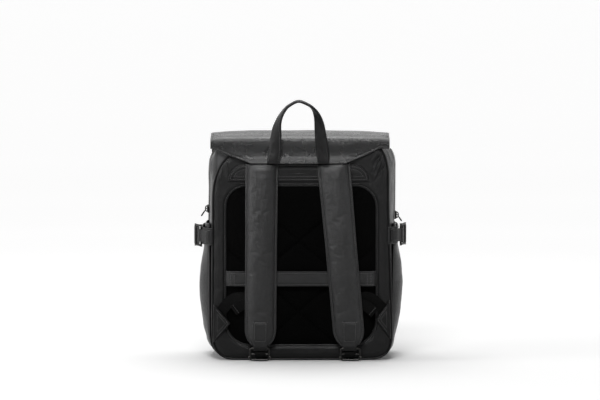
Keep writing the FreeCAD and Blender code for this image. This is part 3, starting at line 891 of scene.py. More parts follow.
for side, tri in (("left", [(-151.5, 99.5), (-151.5, 31.5), (-121.5, 65.5)]), ("right", [(157.5, 107), (132.6, 72.2), (159, 37)])):
    t3 = np.array(tri, float)
    o = []
    for i in range(3):
        a, b, c = t3[i - 1], t3[i], t3[(i + 1) % 3]
        rr = 2.2
        p0 = b + (a - b) / np.linalg.norm(a - b) * rr
        p1 = b + (c - b) / np.linalg.norm(c - b) * rr
        for q in (0, 0.25, 0.5, 0.75, 1):
            o.append((1 - q) ** 2 * p0 + 2 * q * (1 - q) * b + q * q * p1)
    la, lb, lc = (np.linalg.norm(t3[1] - t3[2]), np.linalg.norm(t3[2] - t3[0]), np.linalg.norm(t3[0] - t3[1]))
    ic = (la * t3[0] + lb * t3[1] + lc * t3[2]) / (la + lb + lc)
    ar = abs(np.cross(t3[1] - t3[0], t3[2] - t3[0])) / 2
    ob, tl = plate(side + "_corner_tab_patch", np.array(o), tab_y, 2.3, "bag", "leather_trim", M_TRIM, replaces=(side + "_corner_tab",), lines=(3.0, 6.6), crown_h=0.7, ang_step=1.2, seed=5.0 if side == "left" else 6.0, incentre=(ic[0], ic[1], 2 * ar / (la + lb + lc)))
    apex = np.array(tri[2] if side == "left" else tri[1])
    for l, ring in tl.items():
        sx = ring[:, 0] * (-1 if side == "left" else 1)
        ok = np.abs(ring[:, 0]) < (147.5 if side == "left" else 153.0)
        i0 = int(np.argmin(ok))
        r_ = np.roll(ring, -i0, axis=0)
        ok = np.abs(r_[:, 0]) < (147.5 if side == "left" else 153.0)
        stitch("bag", r_[ok], np.tile([0, -1.0, 0], (int(ok.sum()), 1)), pitch=3.7)

# =====================================================================
# gussets, base and front
# =====================================================================
GUS = {
    "left": [((-102, 380), (-137, 377)), ((-119, 362), (-149, 363.5)), ((-134, 347), (-156, 349)), ((-145, 325), (-157.8, 327)), ((-150.5, 298), (-157.5, 297)),
             ((-151.5, 250), (-158.4, 250)), ((-152, 180), (-158.2, 180)), ((-152.5, 100), (-158.2, 100)), ((-152, 42), (-157.6, 43)), ((-148, 22), (-153.4, 23)),
             ((-139, 10), (-143.5, 10.5)), ((-126, 3.6), (-128, 3.6)), ((-112, 2.2), (-112, 2.0))],
    "right": [((132, 379), (147, 377)), ((145, 363), (158.5, 365)), ((151, 345), (164.5, 347)), ((153.5, 318), (164.8, 320)), ((153.5, 280), (164.8, 280)),
              ((155, 225), (164.0, 225)), ((157, 165), (162.5, 165)), ((158.5, 115), (161.5, 115)), ((159.5, 75), (162, 75)), ((159.5, 42), (161.5, 43)), ((157, 23), (158.5, 24)),
              ((149, 11), (150, 12)), ((134, 4.5), (134, 4.2)), ((112, 2.2), (112, 2.0))],
}
GMID = {}
for side, s in (("left", -1), ("right", 1)):
    seam = catmull([k_[0] for k_ in GUS[side]], 10)
    mid = catmull([k_[1] for k_ in GUS[side]], 10)
    tt = np.linspace(0, 1, 190)
    base_t = np.linspace(0, 1, len(seam))
    seam = np.stack([np.interp(tt, base_t, seam[:, c]) for c in (0, 1)], axis=1)
    mid = np.stack([np.interp(tt, base_t, mid[:, c]) for c in (0, 1)], axis=1)
    fx = np.clip(np.abs(seam[:, 0]), 0, 153.0) * s
    hi = seam[:, 1] > 290
    fx = np.where(hi, s * np.maximum(np.abs(seam[:, 0]), np.minimum(150, np.abs(mid[:, 0]) - 6)), fx)
    front = np.stack([fx, seam[:, 1]], axis=1)
    b = np.sin(np.linspace(-1, 1, 64) * math.pi / 2)
    yb_ = b * 69.2
    w = (1 - np.abs(b) ** 2.6)
    endp = np.where(b[None, :, None] < 0, seam[:, None, :], front[:, None, :])
    XZ = endp + (mid[:, None, :] - endp) * w[None, :, None]
    S = np.stack([XZ[..., 0], np.tile(yb_, (len(tt), 1)), XZ[..., 1]], axis=-1)
    nn = normals(S)
    sd = 1 if nn[60, 30, 0] * s > 0 else -1
    top = smooth01((S[..., 2] - 300) / 50)
    dp = (0.9 * fbm(S, 38.0, 11.0 * s, 3) + (3.0 * top) * (0.4 - np.abs(fbm(S * np.array([1, 1, 0.6]), 24.0, 3.0 * s, 3)))) * w[None, :] ** 0.6
    dp += 0.15 * fbm(S, 9.0, 2.0 * s, 2)
    # the leather is held flat along the zip
    dp *= 1 - 0.85 * (1 - smooth01((np.abs(S[..., 1]) - 15) / 12)) * smooth01((S[..., 2] - 225) / 12)
    ob, Fg, Ng = patch(side + "_gusset_leather", S, 2.4, "bag", "leather_body", M_BODY, disp=dp, side=sd, replaces=(side + "_gusset",))
    GMID[side] = (S, Fg, Ng, mid)

# base
xs_ = ticks(228, 6)
ys_ = ticks(138.4, 5)
S = np.zeros((len(xs_), len(ys_), 3))
S[..., 0] = -114 + xs_[:, None]
S[..., 1] = -69.2 + ys_[None, :]
S[..., 2] = 1.75
dp = 0.12 * fbm(S, 20.0, 2.0, 2) * smooth01(np.minimum(ys_, 138.4 - ys_) / 10)[None, :]
patch("base_leather", S, 2.8, "bag", "leather_body", M_BODY, disp=-np.abs(dp), side=-1 if normals(S)[5, 5, 2] > 0 else 1, replaces=("base_panel",), back=False)

# front panel
def front_w(z):
    r = 30.0
    if z < 3.2 + r:
        q = r - (z - 3.2)
        return 153.2 - (r - math.sqrt(max(r * r - q * q, 0)))
    return 153.2
zf = 3.2 + ticks(372 - 3.2, 4.0, edge=(0, 0.3, 0.9, 2.0, 3.5, 6))
uf = np.r_[-1, -0.996, -0.988, np.linspace(-0.975, 0.975, 80), 0.988, 0.996, 1]
S = np.zeros((len(zf), len(uf), 3))
for i, z in enumerate(zf):
    S[i, :, 0] = uf * front_w(max(z, 3.6))
    S[i, :, 2] = z
S[..., 1] = 70.2
de = np.minimum((1 - np.abs(S[..., 0]) / 153.2) * 153.2, np.minimum(S[..., 2] - 3.2, 372 - S[..., 2] + 6))
puf = 4.6 * (1 - np.exp(-np.maximum(de, 0) / 16.0)) * (1 - 0.62 * smooth01((S[..., 2] - 120) / 60))
puf += 0.7 * fbm(S, 40.0, 21.0, 3) * smooth01(de / 12) + 0.12 * fbm(S, 9.0, 22.0, 2)
ob, Ff, Nf = patch("front_panel_leather", S, 2.4, "bag", "leather_body", M_BODY, disp=puf, side=1 if normals(S)[9, 9, 1] > 0 else -1, replaces=("front_panel",), back=True)
fo = np.array([(front_w(max(z, 3.6)), z) for z in np.linspace(3.2, 356, 160)])
path = np.vstack([np.stack([-fo[::-1, 0], np.full(160, 69.6), fo[::-1, 1]], axis=1), np.stack([fo[:, 0], np.full(160, 69.6), fo[:, 1]], axis=1)])
path[:, 2] = np.maximum(path[:, 2], 2.0)
path[:, 0] += np.sign(path[:, 0]) * 0.8
V_, F_ = tube(resample(path, 2.5), 1.75, sides=8)
finish_mesh("front_piping_cord", V_, F_, "bag", "piping", M_PIPE, ("front_piping",))


# =====================================================================
# flap: one sheet from the seam on the back, over the top, down the front
# =====================================================================
FP = [(-86.0, 345.5), (-83.6, 348.6), (-80.2, 353.0), (-77.7, 358.6), (-76.8, 365.5), (-76.9, 373.5), (-76.9, 380.5), (-75.3, 386.4), (-70.2, 390.8), (-60, 393.4), (-45, 395.0), (-20, 397.2), (5, 397.9),
      (30, 396.6), (50, 393.4), (64, 388.0), (72.0, 380), (76.2, 369), (77.6, 352), (78.0, 320), (78.2, 270), (78.2, 220), (77.8, 180), (77.2, 149.5)]
fpath = resample(catmull(FP, 12), 1.0)
fd = np.r_[0, np.cumsum(np.linalg.norm(np.diff(fpath, axis=0), axis=1))]
FL = fd[-1]


def flap_at(s):
    return np.interp(s, fd, fpath[:, 0]), np.interp(s, fd, fpath[:, 1])


def flap_z0(x):
    """Height of the lower edge on the back at x."""
    if x < -86:
        t = min((-86 - x) / 66.0, 1.0)
        return 345.5 + 26.0 * (t ** 0.85) - 2.5 * math.sin(math.pi * t)
    if x > 79:
        t = min((x - 79) / 60.0, 1.0)
        return 345.5 + 26.5 * (t ** 0.9) - 2.0 * math.sin(math.pi * t)
    return 345.5


back_s = fd[:60]
back_z = fpath[:60, 1]
HWF = 156.2
xt = ticks(2 * HWF, 3.4, grooves=(4.0, 2 * HWF - 4.0)) - HWF
NB, NT_, NF = 26, 70, 62
S = []
for x in xt:
    s0 = float(np.interp(flap_z0(x), back_z, back_s))
    q = max(abs(x) - (HWF - 45), 0)
    s1 = FL - (45 - math.sqrt(max(45 ** 2 - q * q, 0.0))) * 0.98
    ed = np.array([0, 0.4, 1.0, 1.9, 3.0, 4.0, 5.0, 6.6])
    a = s0 + ed
    b = np.linspace(s0 + 8.5, 42.0, NB)
    c = np.linspace(43.5, 215.0, NT_ + 20)
    d = np.linspace(217.5, s1 - 8.5, NF)
    e = s1 - ed[::-1]
    ss = np.r_[a, b, c, d, e]
    y, z = flap_at(ss)
    w = abs(x) / HWF
    # the back part lies flat near its corners, and flares over the strap ends in between
    fl_ = smooth01((abs(x) - 82) / 34.0)
    backpart = smooth01((44.0 - ss) / 16.0)
    y = y + fl_ * backpart * (-77.3 + 1.2 * smooth01((ss - 8) / 20) - y) * np.where(ss < 44, 1, 0)
    # the top sinks a little towards both sides, the front hangs in a slight curve
    topw = np.exp(-((y - 0) / 62.0) ** 4)
    z = z - topw * 5.0 * w ** 4 - 1.2 * smooth01((ss - 30) / 12) * smooth01((w - 0.86) / 0.14) * (ss < 70)
    frontw = smooth01((ss - 195) / 60)
    y = y + frontw * (1.2 * (1 - w ** 2) - 1.6 * w ** 6)
    xx = x * (1 + 0.014 * smooth01((ss - 60) / 110))
    S.append(np.stack([np.full_like(ss, 1.0) * xx, y, z], axis=-1))
S = np.array(S)
nn = normals(S)
sd = 1 if nn[len(xt) // 2, 60, 2] > 0 else -1
sgrid = np.concatenate([np.zeros((len(xt), 1)), np.cumsum(np.linalg.norm(np.diff(S, axis=1), axis=2), axis=1)], axis=1)
dE = np.minimum(sgrid, sgrid[:, -1:] - sgrid)
dX = np.tile((HWF - np.abs(xt))[:, None], (1, S.shape[1]))
dm = np.minimum(dE, dX)
gr = -0.55 * np.exp(-((dm - 4.0) / 0.85) ** 2)
sof = (0.8 * fbm(S, 60.0, 31.0, 2) + 0.10 * fbm(S, 12.0, 30.0, 2) * (1 - np.exp(-((S[..., 1]) / 66.0) ** 4))) * smooth01(dm / 6)
# creases of the back part, strongest beside the handle's ends and at the seam's corners
bp_w = np.exp(-((sgrid - 14) / 14.0) ** 2)
cr_ = 0
for cx_, wdt in ((-46, 20), (44, 20), (-96, 26), (92, 26)):
    cr_ = cr_ + np.exp(-((S[..., 0] - cx_) / wdt) ** 2)
q = np.stack([S[..., 0] * 1.0, S[..., 2] * 0.25, S[..., 1] * 0.1], axis=-1)
sof += 0.5 * bp_w * cr_ * (0.35 - np.abs(fbm(q, 15.0, 35.0, 2))) * smooth01(dm / 5) * (1 - smooth01((sgrid - 34) / 8))
top_w = np.exp(-((S[..., 1]) / 60.0) ** 4)
sof += top_w * 0.7 * fbm(S * np.array([0.8, 1, 1]), 70.0, 33.0, 2)
# a soft crease where the back part turns into the top
sof -= 0.35 * np.exp(-((S[..., 2] - (381.5 + 1.6 * fbm(S, 60.0, 36.0, 2))) / 5.0) ** 2) * (S[..., 1] < -60) * smooth01(dm / 9)
flap, Ff, Nf = patch("flap_leather", S, 2.7, None, "leather_flap", M_FLAP, disp=gr + sof, side=sd, replaces=("flap", "flap_root"))
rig.blend(flap, "bag", "flap_body", start=(0, (-73.0 + SY) * MM, 0.388), end=(0, (-58.0 + SY) * MM, 0.388))
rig.slot(flap, "leather_flap")
i_l, i_r = int(np.argmin(abs(xt + HWF - 4))), int(np.argmin(abs(xt - HWF + 4)))
jb = 5
jf = S.shape[1] - 6
split = int(np.argmin(abs(sgrid[len(xt) // 2] - 52)))
for i in (i_l, i_r):
    stitch("flap_body", Ff[i, split:jf], Nf[i, split:jf], pitch=3.9)
    stitch("bag", Ff[i, jb:split - 12], Nf[i, jb:split - 12], pitch=3.9)
stitch("bag", Ff[i_l:i_r + 1, jb], Nf[i_l:i_r + 1, jb], pitch=3.9)
stitch("flap_body", Ff[i_l:i_r + 1, jf], Nf[i_l:i_r + 1, jf], pitch=3.9)

# =====================================================================
# grab handle
# =====================================================================
HK_L = [(273.3, 163.5, 0), (273.4, 160, 0), (274.7, 154, 5), (275.4, 148, 12), (275.8, 142, 20), (276.2, 138, 28), (276.6, 134, 36), (277.3, 128, 50), (278.8, 122, 65), (281.35, 116, 76),
        (285.35, 110, 85), (289.8, 106, 89), (298.7, 102.0, 90)]
HK_R = [(323.3, 163.5, 0), (323.2, 160, 0), (322.6, 154, 2), (321.8, 148, 6), (321.2, 142, 10), (320.7, 138, 14), (320.2, 134, 24), (319.5, 128, 33), (318.55, 122, 47), (316.8, 116, 62),
        (313.55, 110, 79), (308.4, 105.6, 89)]
def hk_(p_, right=False):
    return ((p_[0] - 300) * 1.74, 282.95 + (200 - p_[1]) * 1.745, 180 - p_[2] if right else p_[2])
HK = [hk_(p_) for p_ in HK_L] + [hk_(p_, True) for p_ in HK_R[::-1]]
hk = catmull(np.array(HK, float), 14)
hk = resample(hk, n=190)
wv = ticks(21.2, 1.8, grooves=(3.0, 18.2), edge=(0, 0.3, 0.8, 1.5)) - 10.6
hy = []
for x, z, t in hk:
    hy.append(np.interp(z, [340, 346, 352, 372, 388, 420, 452], [-87.4, -89.4, -89.4, -87.6, -88.0, -91.6, -95.6]))
hy = np.array(hy)
tx = np.gradient(hk[:, 0])
tz = np.gradient(hk[:, 1])
ln_ = np.hypot(tx, tz)
tx, tz = tx / ln_, tz / ln_
th = np.radians(hk[:, 2])
Wd = np.stack([tz * np.cos(th), -np.sin(th), -tx * np.cos(th)], axis=-1)
Nd = np.stack([tz * np.sin(th), np.cos(th), -tx * np.sin(th)], axis=-1)
C = np.stack([hk[:, 0], hy, hk[:, 1]], axis=-1)
sH = np.r_[0, np.cumsum(np.linalg.norm(np.diff(C, axis=0), axis=1))]
LH = sH[-1]
endw = np.minimum(sH, LH - sH)
cup = 2.4 * (1 - 0.4 * smooth01(endw / 80.0))
S = C[:, None, :] + Wd[:, None, :] * wv[None, :, None] + Nd[:, None, :] * (cup[:, None] * (1 - (wv[None, :] / 10.6) ** 2) * np.where(np.arange(len(hk)) < len(hk) / 2, -1, -1)[:, None])[..., None]
nn = normals(S)
sd = 1 if nn[10, len(wv) // 2, 1] < 0 else -1
q = np.stack([S[..., 0] + S[..., 2] * 0.55, S[..., 0] * 0.2, S[..., 2] * 0.8], axis=-1)
leg = np.exp(-((endw - 26) / 26.0) ** 2)[:, None]
dp = 0.9 * leg * (0.35 - np.abs(fbm(q, 6.0, 41.0, 2))) + 0.12 * fbm(S, 8.0, 40.0, 2)
dp -= 0.45 * (np.exp(-((wv + 7.6) / 0.8) ** 2) + np.exp(-((wv - 7.6) / 0.8) ** 2))[None, :]
ob, Fh, Nh = patch("grab_handle_leather", S, 4.2, None, "leather_trim", M_TRIM, disp=dp, side=sd, roll=2.0, replaces=("grab_handle",), back=False)
H_BEND = ((0, (-79.2 + SY) * MM, 0.3465), (0, (-79.2 + SY) * MM, 0.3760))
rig.blend(ob, "bag", "handle", start=H_BEND[0], end=H_BEND[1])
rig.slot(ob, "leather_trim")
for g_ in (-7.6, 7.6):
    j = int(np.argmin(abs(wv - g_)))
    stitch("handle", Fh[2:-2, j], Nh[2:-2, j], pitch=3.6, length=2.7)

# =====================================================================
# shoulder straps
# =====================================================================
IN_Y = [(344.5, -75.5), (338, -76.5), (326, -79.4), (300, -84.2), (250, -88), (200, -90), (150, -89.6), (100, -87.6), (60, -85.6), (22, -84.6)]
OUT_Y = [(344.5, -84.6), (343, -88.6), (340, -92.4), (334, -95.0), (322, -97.2), (300, -99.4), (270, -101.6), (235, -103.4), (200, -104.6), (150, -104.2), (100, -101.8), (60, -98.4), (40, -96.2), (22, -93.4)]


def yat(tab_, z):
    zz = np.array([p[0] for p in tab_][::-1], float)
    yy = np.array([p[1] for p in tab_][::-1], float)
    return np.interp(z, zz, yy)


def simulate(ob, pin, frames=14, pressure=2.0, cap=2.0, grow=0.02, stiff=10.0, bend=0.8):
    """Cloth run on a stuffed piece: pinned where pin(points in mm) is true, a little excess skin, light inner pressure.
    The result is written into the mesh; moves are held to cap mm."""
    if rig.quick():
        return
    me = ob.data
    n = len(me.vertices)
    start = np.empty(n * 3)
    me.vertices.foreach_get("co", start)
    start = start.reshape(-1, 3)
    mm_ = start / MM
    mm_[:, 1] -= SY
    vg = ob.vertex_groups.new(name="pin")
    vg.add([int(i_) for i_ in np.nonzero(pin(mm_))[0]], 1.0, "REPLACE")
    cm = ob.modifiers.new("cloth", "CLOTH")
    st = cm.settings
    st.quality = 6
    st.mass = 0.25
    st.air_damping = 4.0
    st.tension_stiffness = stiff
    st.compression_stiffness = stiff
    st.shear_stiffness = stiff * 0.5
    st.bending_stiffness = bend
    st.use_pressure = True
    st.uniform_pressure_force = pressure
    st.shrink_min = -grow
    st.vertex_group_mass = "pin"
    st.effector_weights.gravity = 0.0
    cm.collision_settings.use_collision = False
    cm.point_cache.frame_start = 1
    cm.point_cache.frame_end = frames
    sc = bpy.context.scene
    for f_ in range(1, frames + 1):
        sc.frame_set(f_)
    ev = ob.evaluated_get(bpy.context.evaluated_depsgraph_get())
    res = np.empty(n * 3)
    ev.data.vertices.foreach_get("co", res)
    res = res.reshape(-1, 3)
    d = res - start
    ok = np.isfinite(d).all(axis=1)
    d[~ok] = 0
    l = np.linalg.norm(d, axis=1, keepdims=True)
    d = d * np.minimum(1.0, cap * MM / np.maximum(l, 1e-9))
    ob.modifiers.remove(cm)
    ob.vertex_groups.remove(vg)
    sc.frame_set(1)
    me.vertices.foreach_set("co", (start + d).ravel())
    me.update()
    print("cloth", ob.name, n, "mean mm %.3f max mm %.3f" % (l.mean() / MM, l.max() / MM))


STRAPS = {}
S_BEND = ((0, (-84.0 + SY) * MM, 0.3440), (0, (-84.0 + SY) * MM, 0.3080))
for side, xt_, xe_, hw_ in (("left", -66.4, -69.2, 27.7), ("right", 58.6, 87.4, 27.4)):
    z_end = 22.5
    # rows along the strap, from the seam to the rounded end
    zs_ = [344.5, 343.6, 342.4, 340.5, 338] + list(np.linspace(334.5, 62, 116)) + list(z_end + hw_ * (1 - np.cos(np.linspace(0, 1, 19) * math.pi / 2))[::-1][1:] * 1.32)
    zs_ = np.array(sorted(set(np.round(zs_, 3)), reverse=True))
    wn = ticks(2 * hw_, 2.4, grooves=(3.4, 2 * hw_ - 3.4), edge=(0, 0.3, 0.8, 1.5)) / hw_ - 1.0
    F_s, B_s = np.zeros((len(zs_), len(wn), 3)), np.zeros((len(zs_), len(wn), 3))
    lean = math.atan2(xe_ - xt_, 320.0)
    for i, z in enumerate(zs_):
        xc = xt_ + (xe_ - xt_) * (344.5 - z) / 320.0
        a = 1.32 * hw_
        if z < z_end + a:
            q = (z_end + a - z) / a
            h = hw_ * math.sqrt(max(1 - q ** 2.2, 0.0004))
        else:
            h = hw_ * (1 + (0.03 if side == "left" else 0.045) * smooth01((z - 190) / 140))
        endd = (z - z_end)
        wmm = wn * h
        edge_mm = np.minimum(h - np.abs(wmm), max(endd, 0.0) + 0.0)
        yi, yo = yat(IN_Y, z), yat(OUT_Y, z)
        full = yi - yo
        # padded section: a thin sewn edge, then a quick rise to a broad crown
        rise = (1 - np.exp(-np.maximum(edge_mm - 3.0, 0) / 6.5)) * (1 - 0.16 * (np.abs(wmm) / hw_) ** 2)
        edge_t = 3.6
        top_fade = 1.0
        yf = yi - edge_t * 0.5 - (full - edge_t * 0.5) * rise * top_fade - edge_t * 0.5 * np.sqrt(np.clip(1 - np.clip(1 - edge_mm / 1.6, 0, 1) ** 2, 0.02, 1))
        gro = 0.9 * np.exp(-((edge_mm - 3.4) / 0.8) ** 2)
        F_s[i, :, 0] = xc + wmm
        F_s[i, :, 1] = yf + gro
        F_s[i, :, 2] = z + (xe_ - xt_) / 320.0 * wmm * 0.6
        B_s[i] = F_s[i]
        B_s[i, :, 1] = yi - edge_t * 0.5 + edge_t * 0.42 * np.sqrt(np.clip(1 - np.clip(1 - edge_mm / 1.6, 0, 1) ** 2, 0.02, 1)) - 0.8 * (1 - np.exp(-edge_mm / 8.0))
    sgn = -1.0 if side == "left" else 1.0
    nz = 0.8 * fbm(F_s, 48.0, 51.0 + sgn, 3) + 0.13 * fbm(F_s, 9.0, 52.0 + sgn, 2)
    upper = smooth01((F_s[..., 2] - 300) / 34)
    q = np.stack([F_s[..., 0] * 0.35, F_s[..., 2] * 1.0, F_s[..., 0] * 0.1], axis=-1)
    nz += upper * 0.9 * (0.4 - np.abs(fbm(q, 11.0, 54.0 + sgn, 3)))
    em = np.minimum((1 - np.abs(wn)) * hw_, 99)[None, :]
    F_s[..., 1] -= nz * smooth01(em / 7.0) * smooth01((F_s[..., 2] - z_end) / 10)
    st_ob = solid(side + "_shoulder_strap_pad", F_s, B_s, None, "leather_strap", M_STRAP, replaces=(side + "_shoulder_strap",))
    def strap_pin(q_, xt_=xt_, xe_=xe_, hw_=hw_, z_end=z_end):
        xc_ = xt_ + (xe_ - xt_) * (344.5 - q_[:, 2]) / 320.0
        em_ = hw_ - np.abs(q_[:, 0] - xc_)
        back_ = q_[:, 1] > np.array([yat(IN_Y, z_) for z_ in q_[:, 2]]) - 3.4
        return back_ | (em_ < 4.6) | (q_[:, 2] > 343.0) | (q_[:, 2] < z_end + 8) | ((q_[:, 2] < 72) & (em_ > 12))
    simulate(st_ob, strap_pin, pressure=3.0, cap=1.4, grow=0.006)
    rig.blend(st_ob, "bag", side + "_strap", start=S_BEND[0], end=S_BEND[1])
    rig.slot(st_ob, "leather_strap")
    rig.padded(st_ob, fill=0.7)
    STRAPS[side] = (F_s, zs_, wn, st_ob)
    N_s = normals(F_s)
    if N_s[20, len(wn) // 2, 1] > 0:
        N_s = -N_s
    for g_ in (3.4 / hw_ - 1.0, 1.0 - 3.4 / hw_):
        j = int(np.argmin(abs(wn - g_)))
        stop = int(np.argmin(abs(zs_ - (z_end + 4.5))))
        stitch(side + "_strap", F_s[1:stop, j], N_s[1:stop, j], pitch=3.9)

# =====================================================================
# tabs, slider buckles and lower webbing
# =====================================================================
def ribbon_patch(name, path, widthdir, w, t, body, slot, mat, replaces=(), grooves=(), noise_amp=0.1, step=1.6, wstep=2.4, seed=0.0, facing=(0, -1, 0), wfun=None, disp=None):
    """A strip whose middle line is path; widthdir is the direction across it."""
    p = resample(path, step)
    wv_ = ticks(w, wstep, grooves=grooves, edge=(0, 0.3, 0.8, 1.5)) - w / 2
    wd = np.asarray(widthdir, float)
    if wd.ndim == 1:
        wd = np.tile(wd / np.linalg.norm(wd), (len(p), 1))
    sc_ = np.ones(len(p)) if wfun is None else np.array([wfun(i / (len(p) - 1)) for i in range(len(p))])
    S_ = p[:, None, :] + wd[:, None, :] * (wv_[None, :, None] * sc_[:, None, None])
    n_ = normals(S_)
    c_ = n_[:3].reshape(-1, 3).mean(axis=0)
    sd_ = 1 if np.dot(c_, np.asarray(facing, float)) > 0 else -1
    dp_ = noise_amp * fbm(S_, 7.0, seed, 2)
    for g_ in grooves:
        dp_ = dp_ - 0.4 * np.exp(-((wv_ + w / 2 - g_) / 0.8) ** 2)[None, :]
    if disp is not None:
        dp_ = dp_ + disp(p, wv_)
    ob_, F__, N__ = patch(name, S_, t, body, slot, mat, disp=dp_, side=sd_, replaces=replaces, back=False)
    return ob_, F__, N__, wv_


def rot_about(P_, c, deg):
    """Turn points in the X-Z plane about c by deg."""
    a = math.radians(deg)
    Q = np.array(P_, float)
    dx, dz = Q[..., 0] - c[0], Q[..., 2] - c[1]
    Q[..., 0] = c[0] + dx * math.cos(a) - dz * math.sin(a)
    Q[..., 2] = c[1] + dx * math.sin(a) + dz * math.cos(a)
    return Q


for side, xc, tilt in (("left", -69.2, 0.6), ("right", 86.8, 4.6)):
    sgn = -1.0 if side == "left" else 1.0
    body = side + "_strap"
    by, bz = -85.25, 21.7
    # leather tab: sewn box on the strap, then a loop round the upper bar
    F_s, zs_, wn, _ = STRAPS[side]
    jmid = len(wn) // 2
    def strap_front(z):
        return float(np.interp(z, zs_[::-1], F_s[::-1, jmid, 1]))
    pth = [(xc, strap_front(71) - 0.9, 71), (xc, strap_front(63) - 1.0, 63), (xc, strap_front(50) - 1.0, 50), (xc, strap_front(38) - 1.0, 38), (xc, strap_front(33) - 1.2, 33),
           (xc, -94.6, 28.0), (xc, -91.2, 24.8), (xc, -88.3, 21.7), (xc, -87.2, 19.6), (xc, -85.2, 18.7), (xc, -83.2, 19.6), (xc, -82.4, 21.6), (xc, -82.9, 24.6)]
    def tabdisp(p, w_):
        z = p[:, 2][:, None]
        rib = 0.35 * np.sin(z * 2.6) * ((z < 33.5) & (z > 19)) * smooth01((33.5 - z) / 2)
        e1 = -0.4 * np.exp(-((z - 68.2) / 0.8) ** 2) - 0.4 * np.exp(-((z - 36.0) / 0.8) ** 2)
        return rib * (1 - (np.abs(w_)[None, :] / 13.0) ** 4) + e1 + 0.5 * smooth01((z - 36) / 4) * smooth01((68 - z) / 4) * (1 - (w_[None, :] / 13) ** 4)
    path_ = catmull(np.array(pth, float), 8)
    ob, Ft, Nt, wvv = ribbon_patch(side + "_strap_tab_leather", path_, (1, 0, 0), 25.6, 1.9, body, "leather_trim", M_TAB_PAINTED_LIGHT,
                                   replaces=(side + "_strap_tab",), grooves=(2.6, 23.0), seed=60 + sgn, step=0.9, disp=tabdisp,
                                   wfun=lambda t: 1.0 - 0.10 * smooth01((t - 0.42) / 0.1))
    zt = Ft[:, 5, 2]
    i0, i1 = int(np.argmin(abs(Ft[:40, 5, 2] - 68.2))), int(np.argmin(abs(Ft[:60, 5, 2] - 36.0)))
    for g_ in (2.6, 23.0):
        j = int(np.argmin(abs(wvv + 12.8 - g_)))
        stitch(body, Ft[i0:i1 + 1, j], Nt[i0:i1 + 1, j], pitch=3.6, length=2.8)
    ja, jb_ = int(np.argmin(abs(wvv + 12.8 - 2.6))), int(np.argmin(abs(wvv + 12.8 - 23.0)))
    for i in (i0, i1):
        stitch(body, Ft[i, ja:jb_ + 1], Nt[i, ja:jb_ + 1], pitch=3.4, length=2.7)
    # slider buckle
    bg_ = Bag()
    xb = xc + (-1.4 if side == "left" else 1.2)
    fr = rrect(xb - 16.6, xb + 16.6, 2.3, 22.4, 3.6, 3.6, 6)
    P_ = np.stack([fr[:, 0], np.full(len(fr), by), fr[:, 1]], axis=-1)
    V_, F_ = tube(resample(P_, 1.2, closed=True), 1.75, sides=10, closed=True, squash=0.95, up=(0, 1, 0))
    bg_.add(V_, F_)
    for zz, rr in ((bz, 1.5), (12.2, 1.5)):
        V_, F_ = tube(resample([(xb - 16, by, zz), (xb + 16, by, zz)], 2.0), rr, sides=10, up=(0, 1, 0))
        bg_.add(V_, F_)
    for s_ in (-1, 1):
        c_ = np.array([xb + s_ * 17.6, by, 7.0])
        V_, F_ = tube([c_ + (-s_ * 1.2, 0, 0), c_ + (s_ * 0.9, 0, 0), c_ + (s_ * 1.9, 0, 0), c_ + (s_ * 2.3, 0, 0)], 2.3, sides=12, up=(0, 1, 0), taper=(1, 1, 0.75, 0.15))
        bg_.add(V_, F_)
    bob = bg_.make(side + "_slider_buckle_metal", side + "_slider", "gunmetal", M_METAL, (side + "_slider_buckle",))
    # webbing: flat band from under the corner tab, over an arch, behind the strap, down and through the slider
    if side == "left":
        arch = [(-141, 80), (-136, 88.5), (-129.5, 97), (-121, 105.5), (-110.5, 110.6), (-99, 110.0), (-88, 104), (-78, 92), (-71.5, 76), (-69.8, 58), (-69.4, 30)]
    else:
        arch = [(150, 84), (145.5, 90), (138.5, 97.5), (130, 106), (120, 111.5), (110, 112.0), (101, 107.0), (94.5, 95), (89.4, 78), (87.4, 58), (87.2, 30)]
    A = catmull(np.array(arch, float), 8)
    A = resample(A, 2.0)
    t_ = np.gradient(A, axis=0)
    t_ /= np.linalg.norm(t_, axis=1, keepdims=True)
    wd = np.stack([-t_[:, 1], np.zeros(len(A)), t_[:, 0]], axis=-1)
    f_ = np.linspace(0, 1, len(A))
    ya = np.interp(f_, [0, 0.10, 0.20, 0.34, 0.52, 0.7, 1.0], [-74.6, -75.4, -79.6, -82.0, -82.2, -80.8, -80.2])
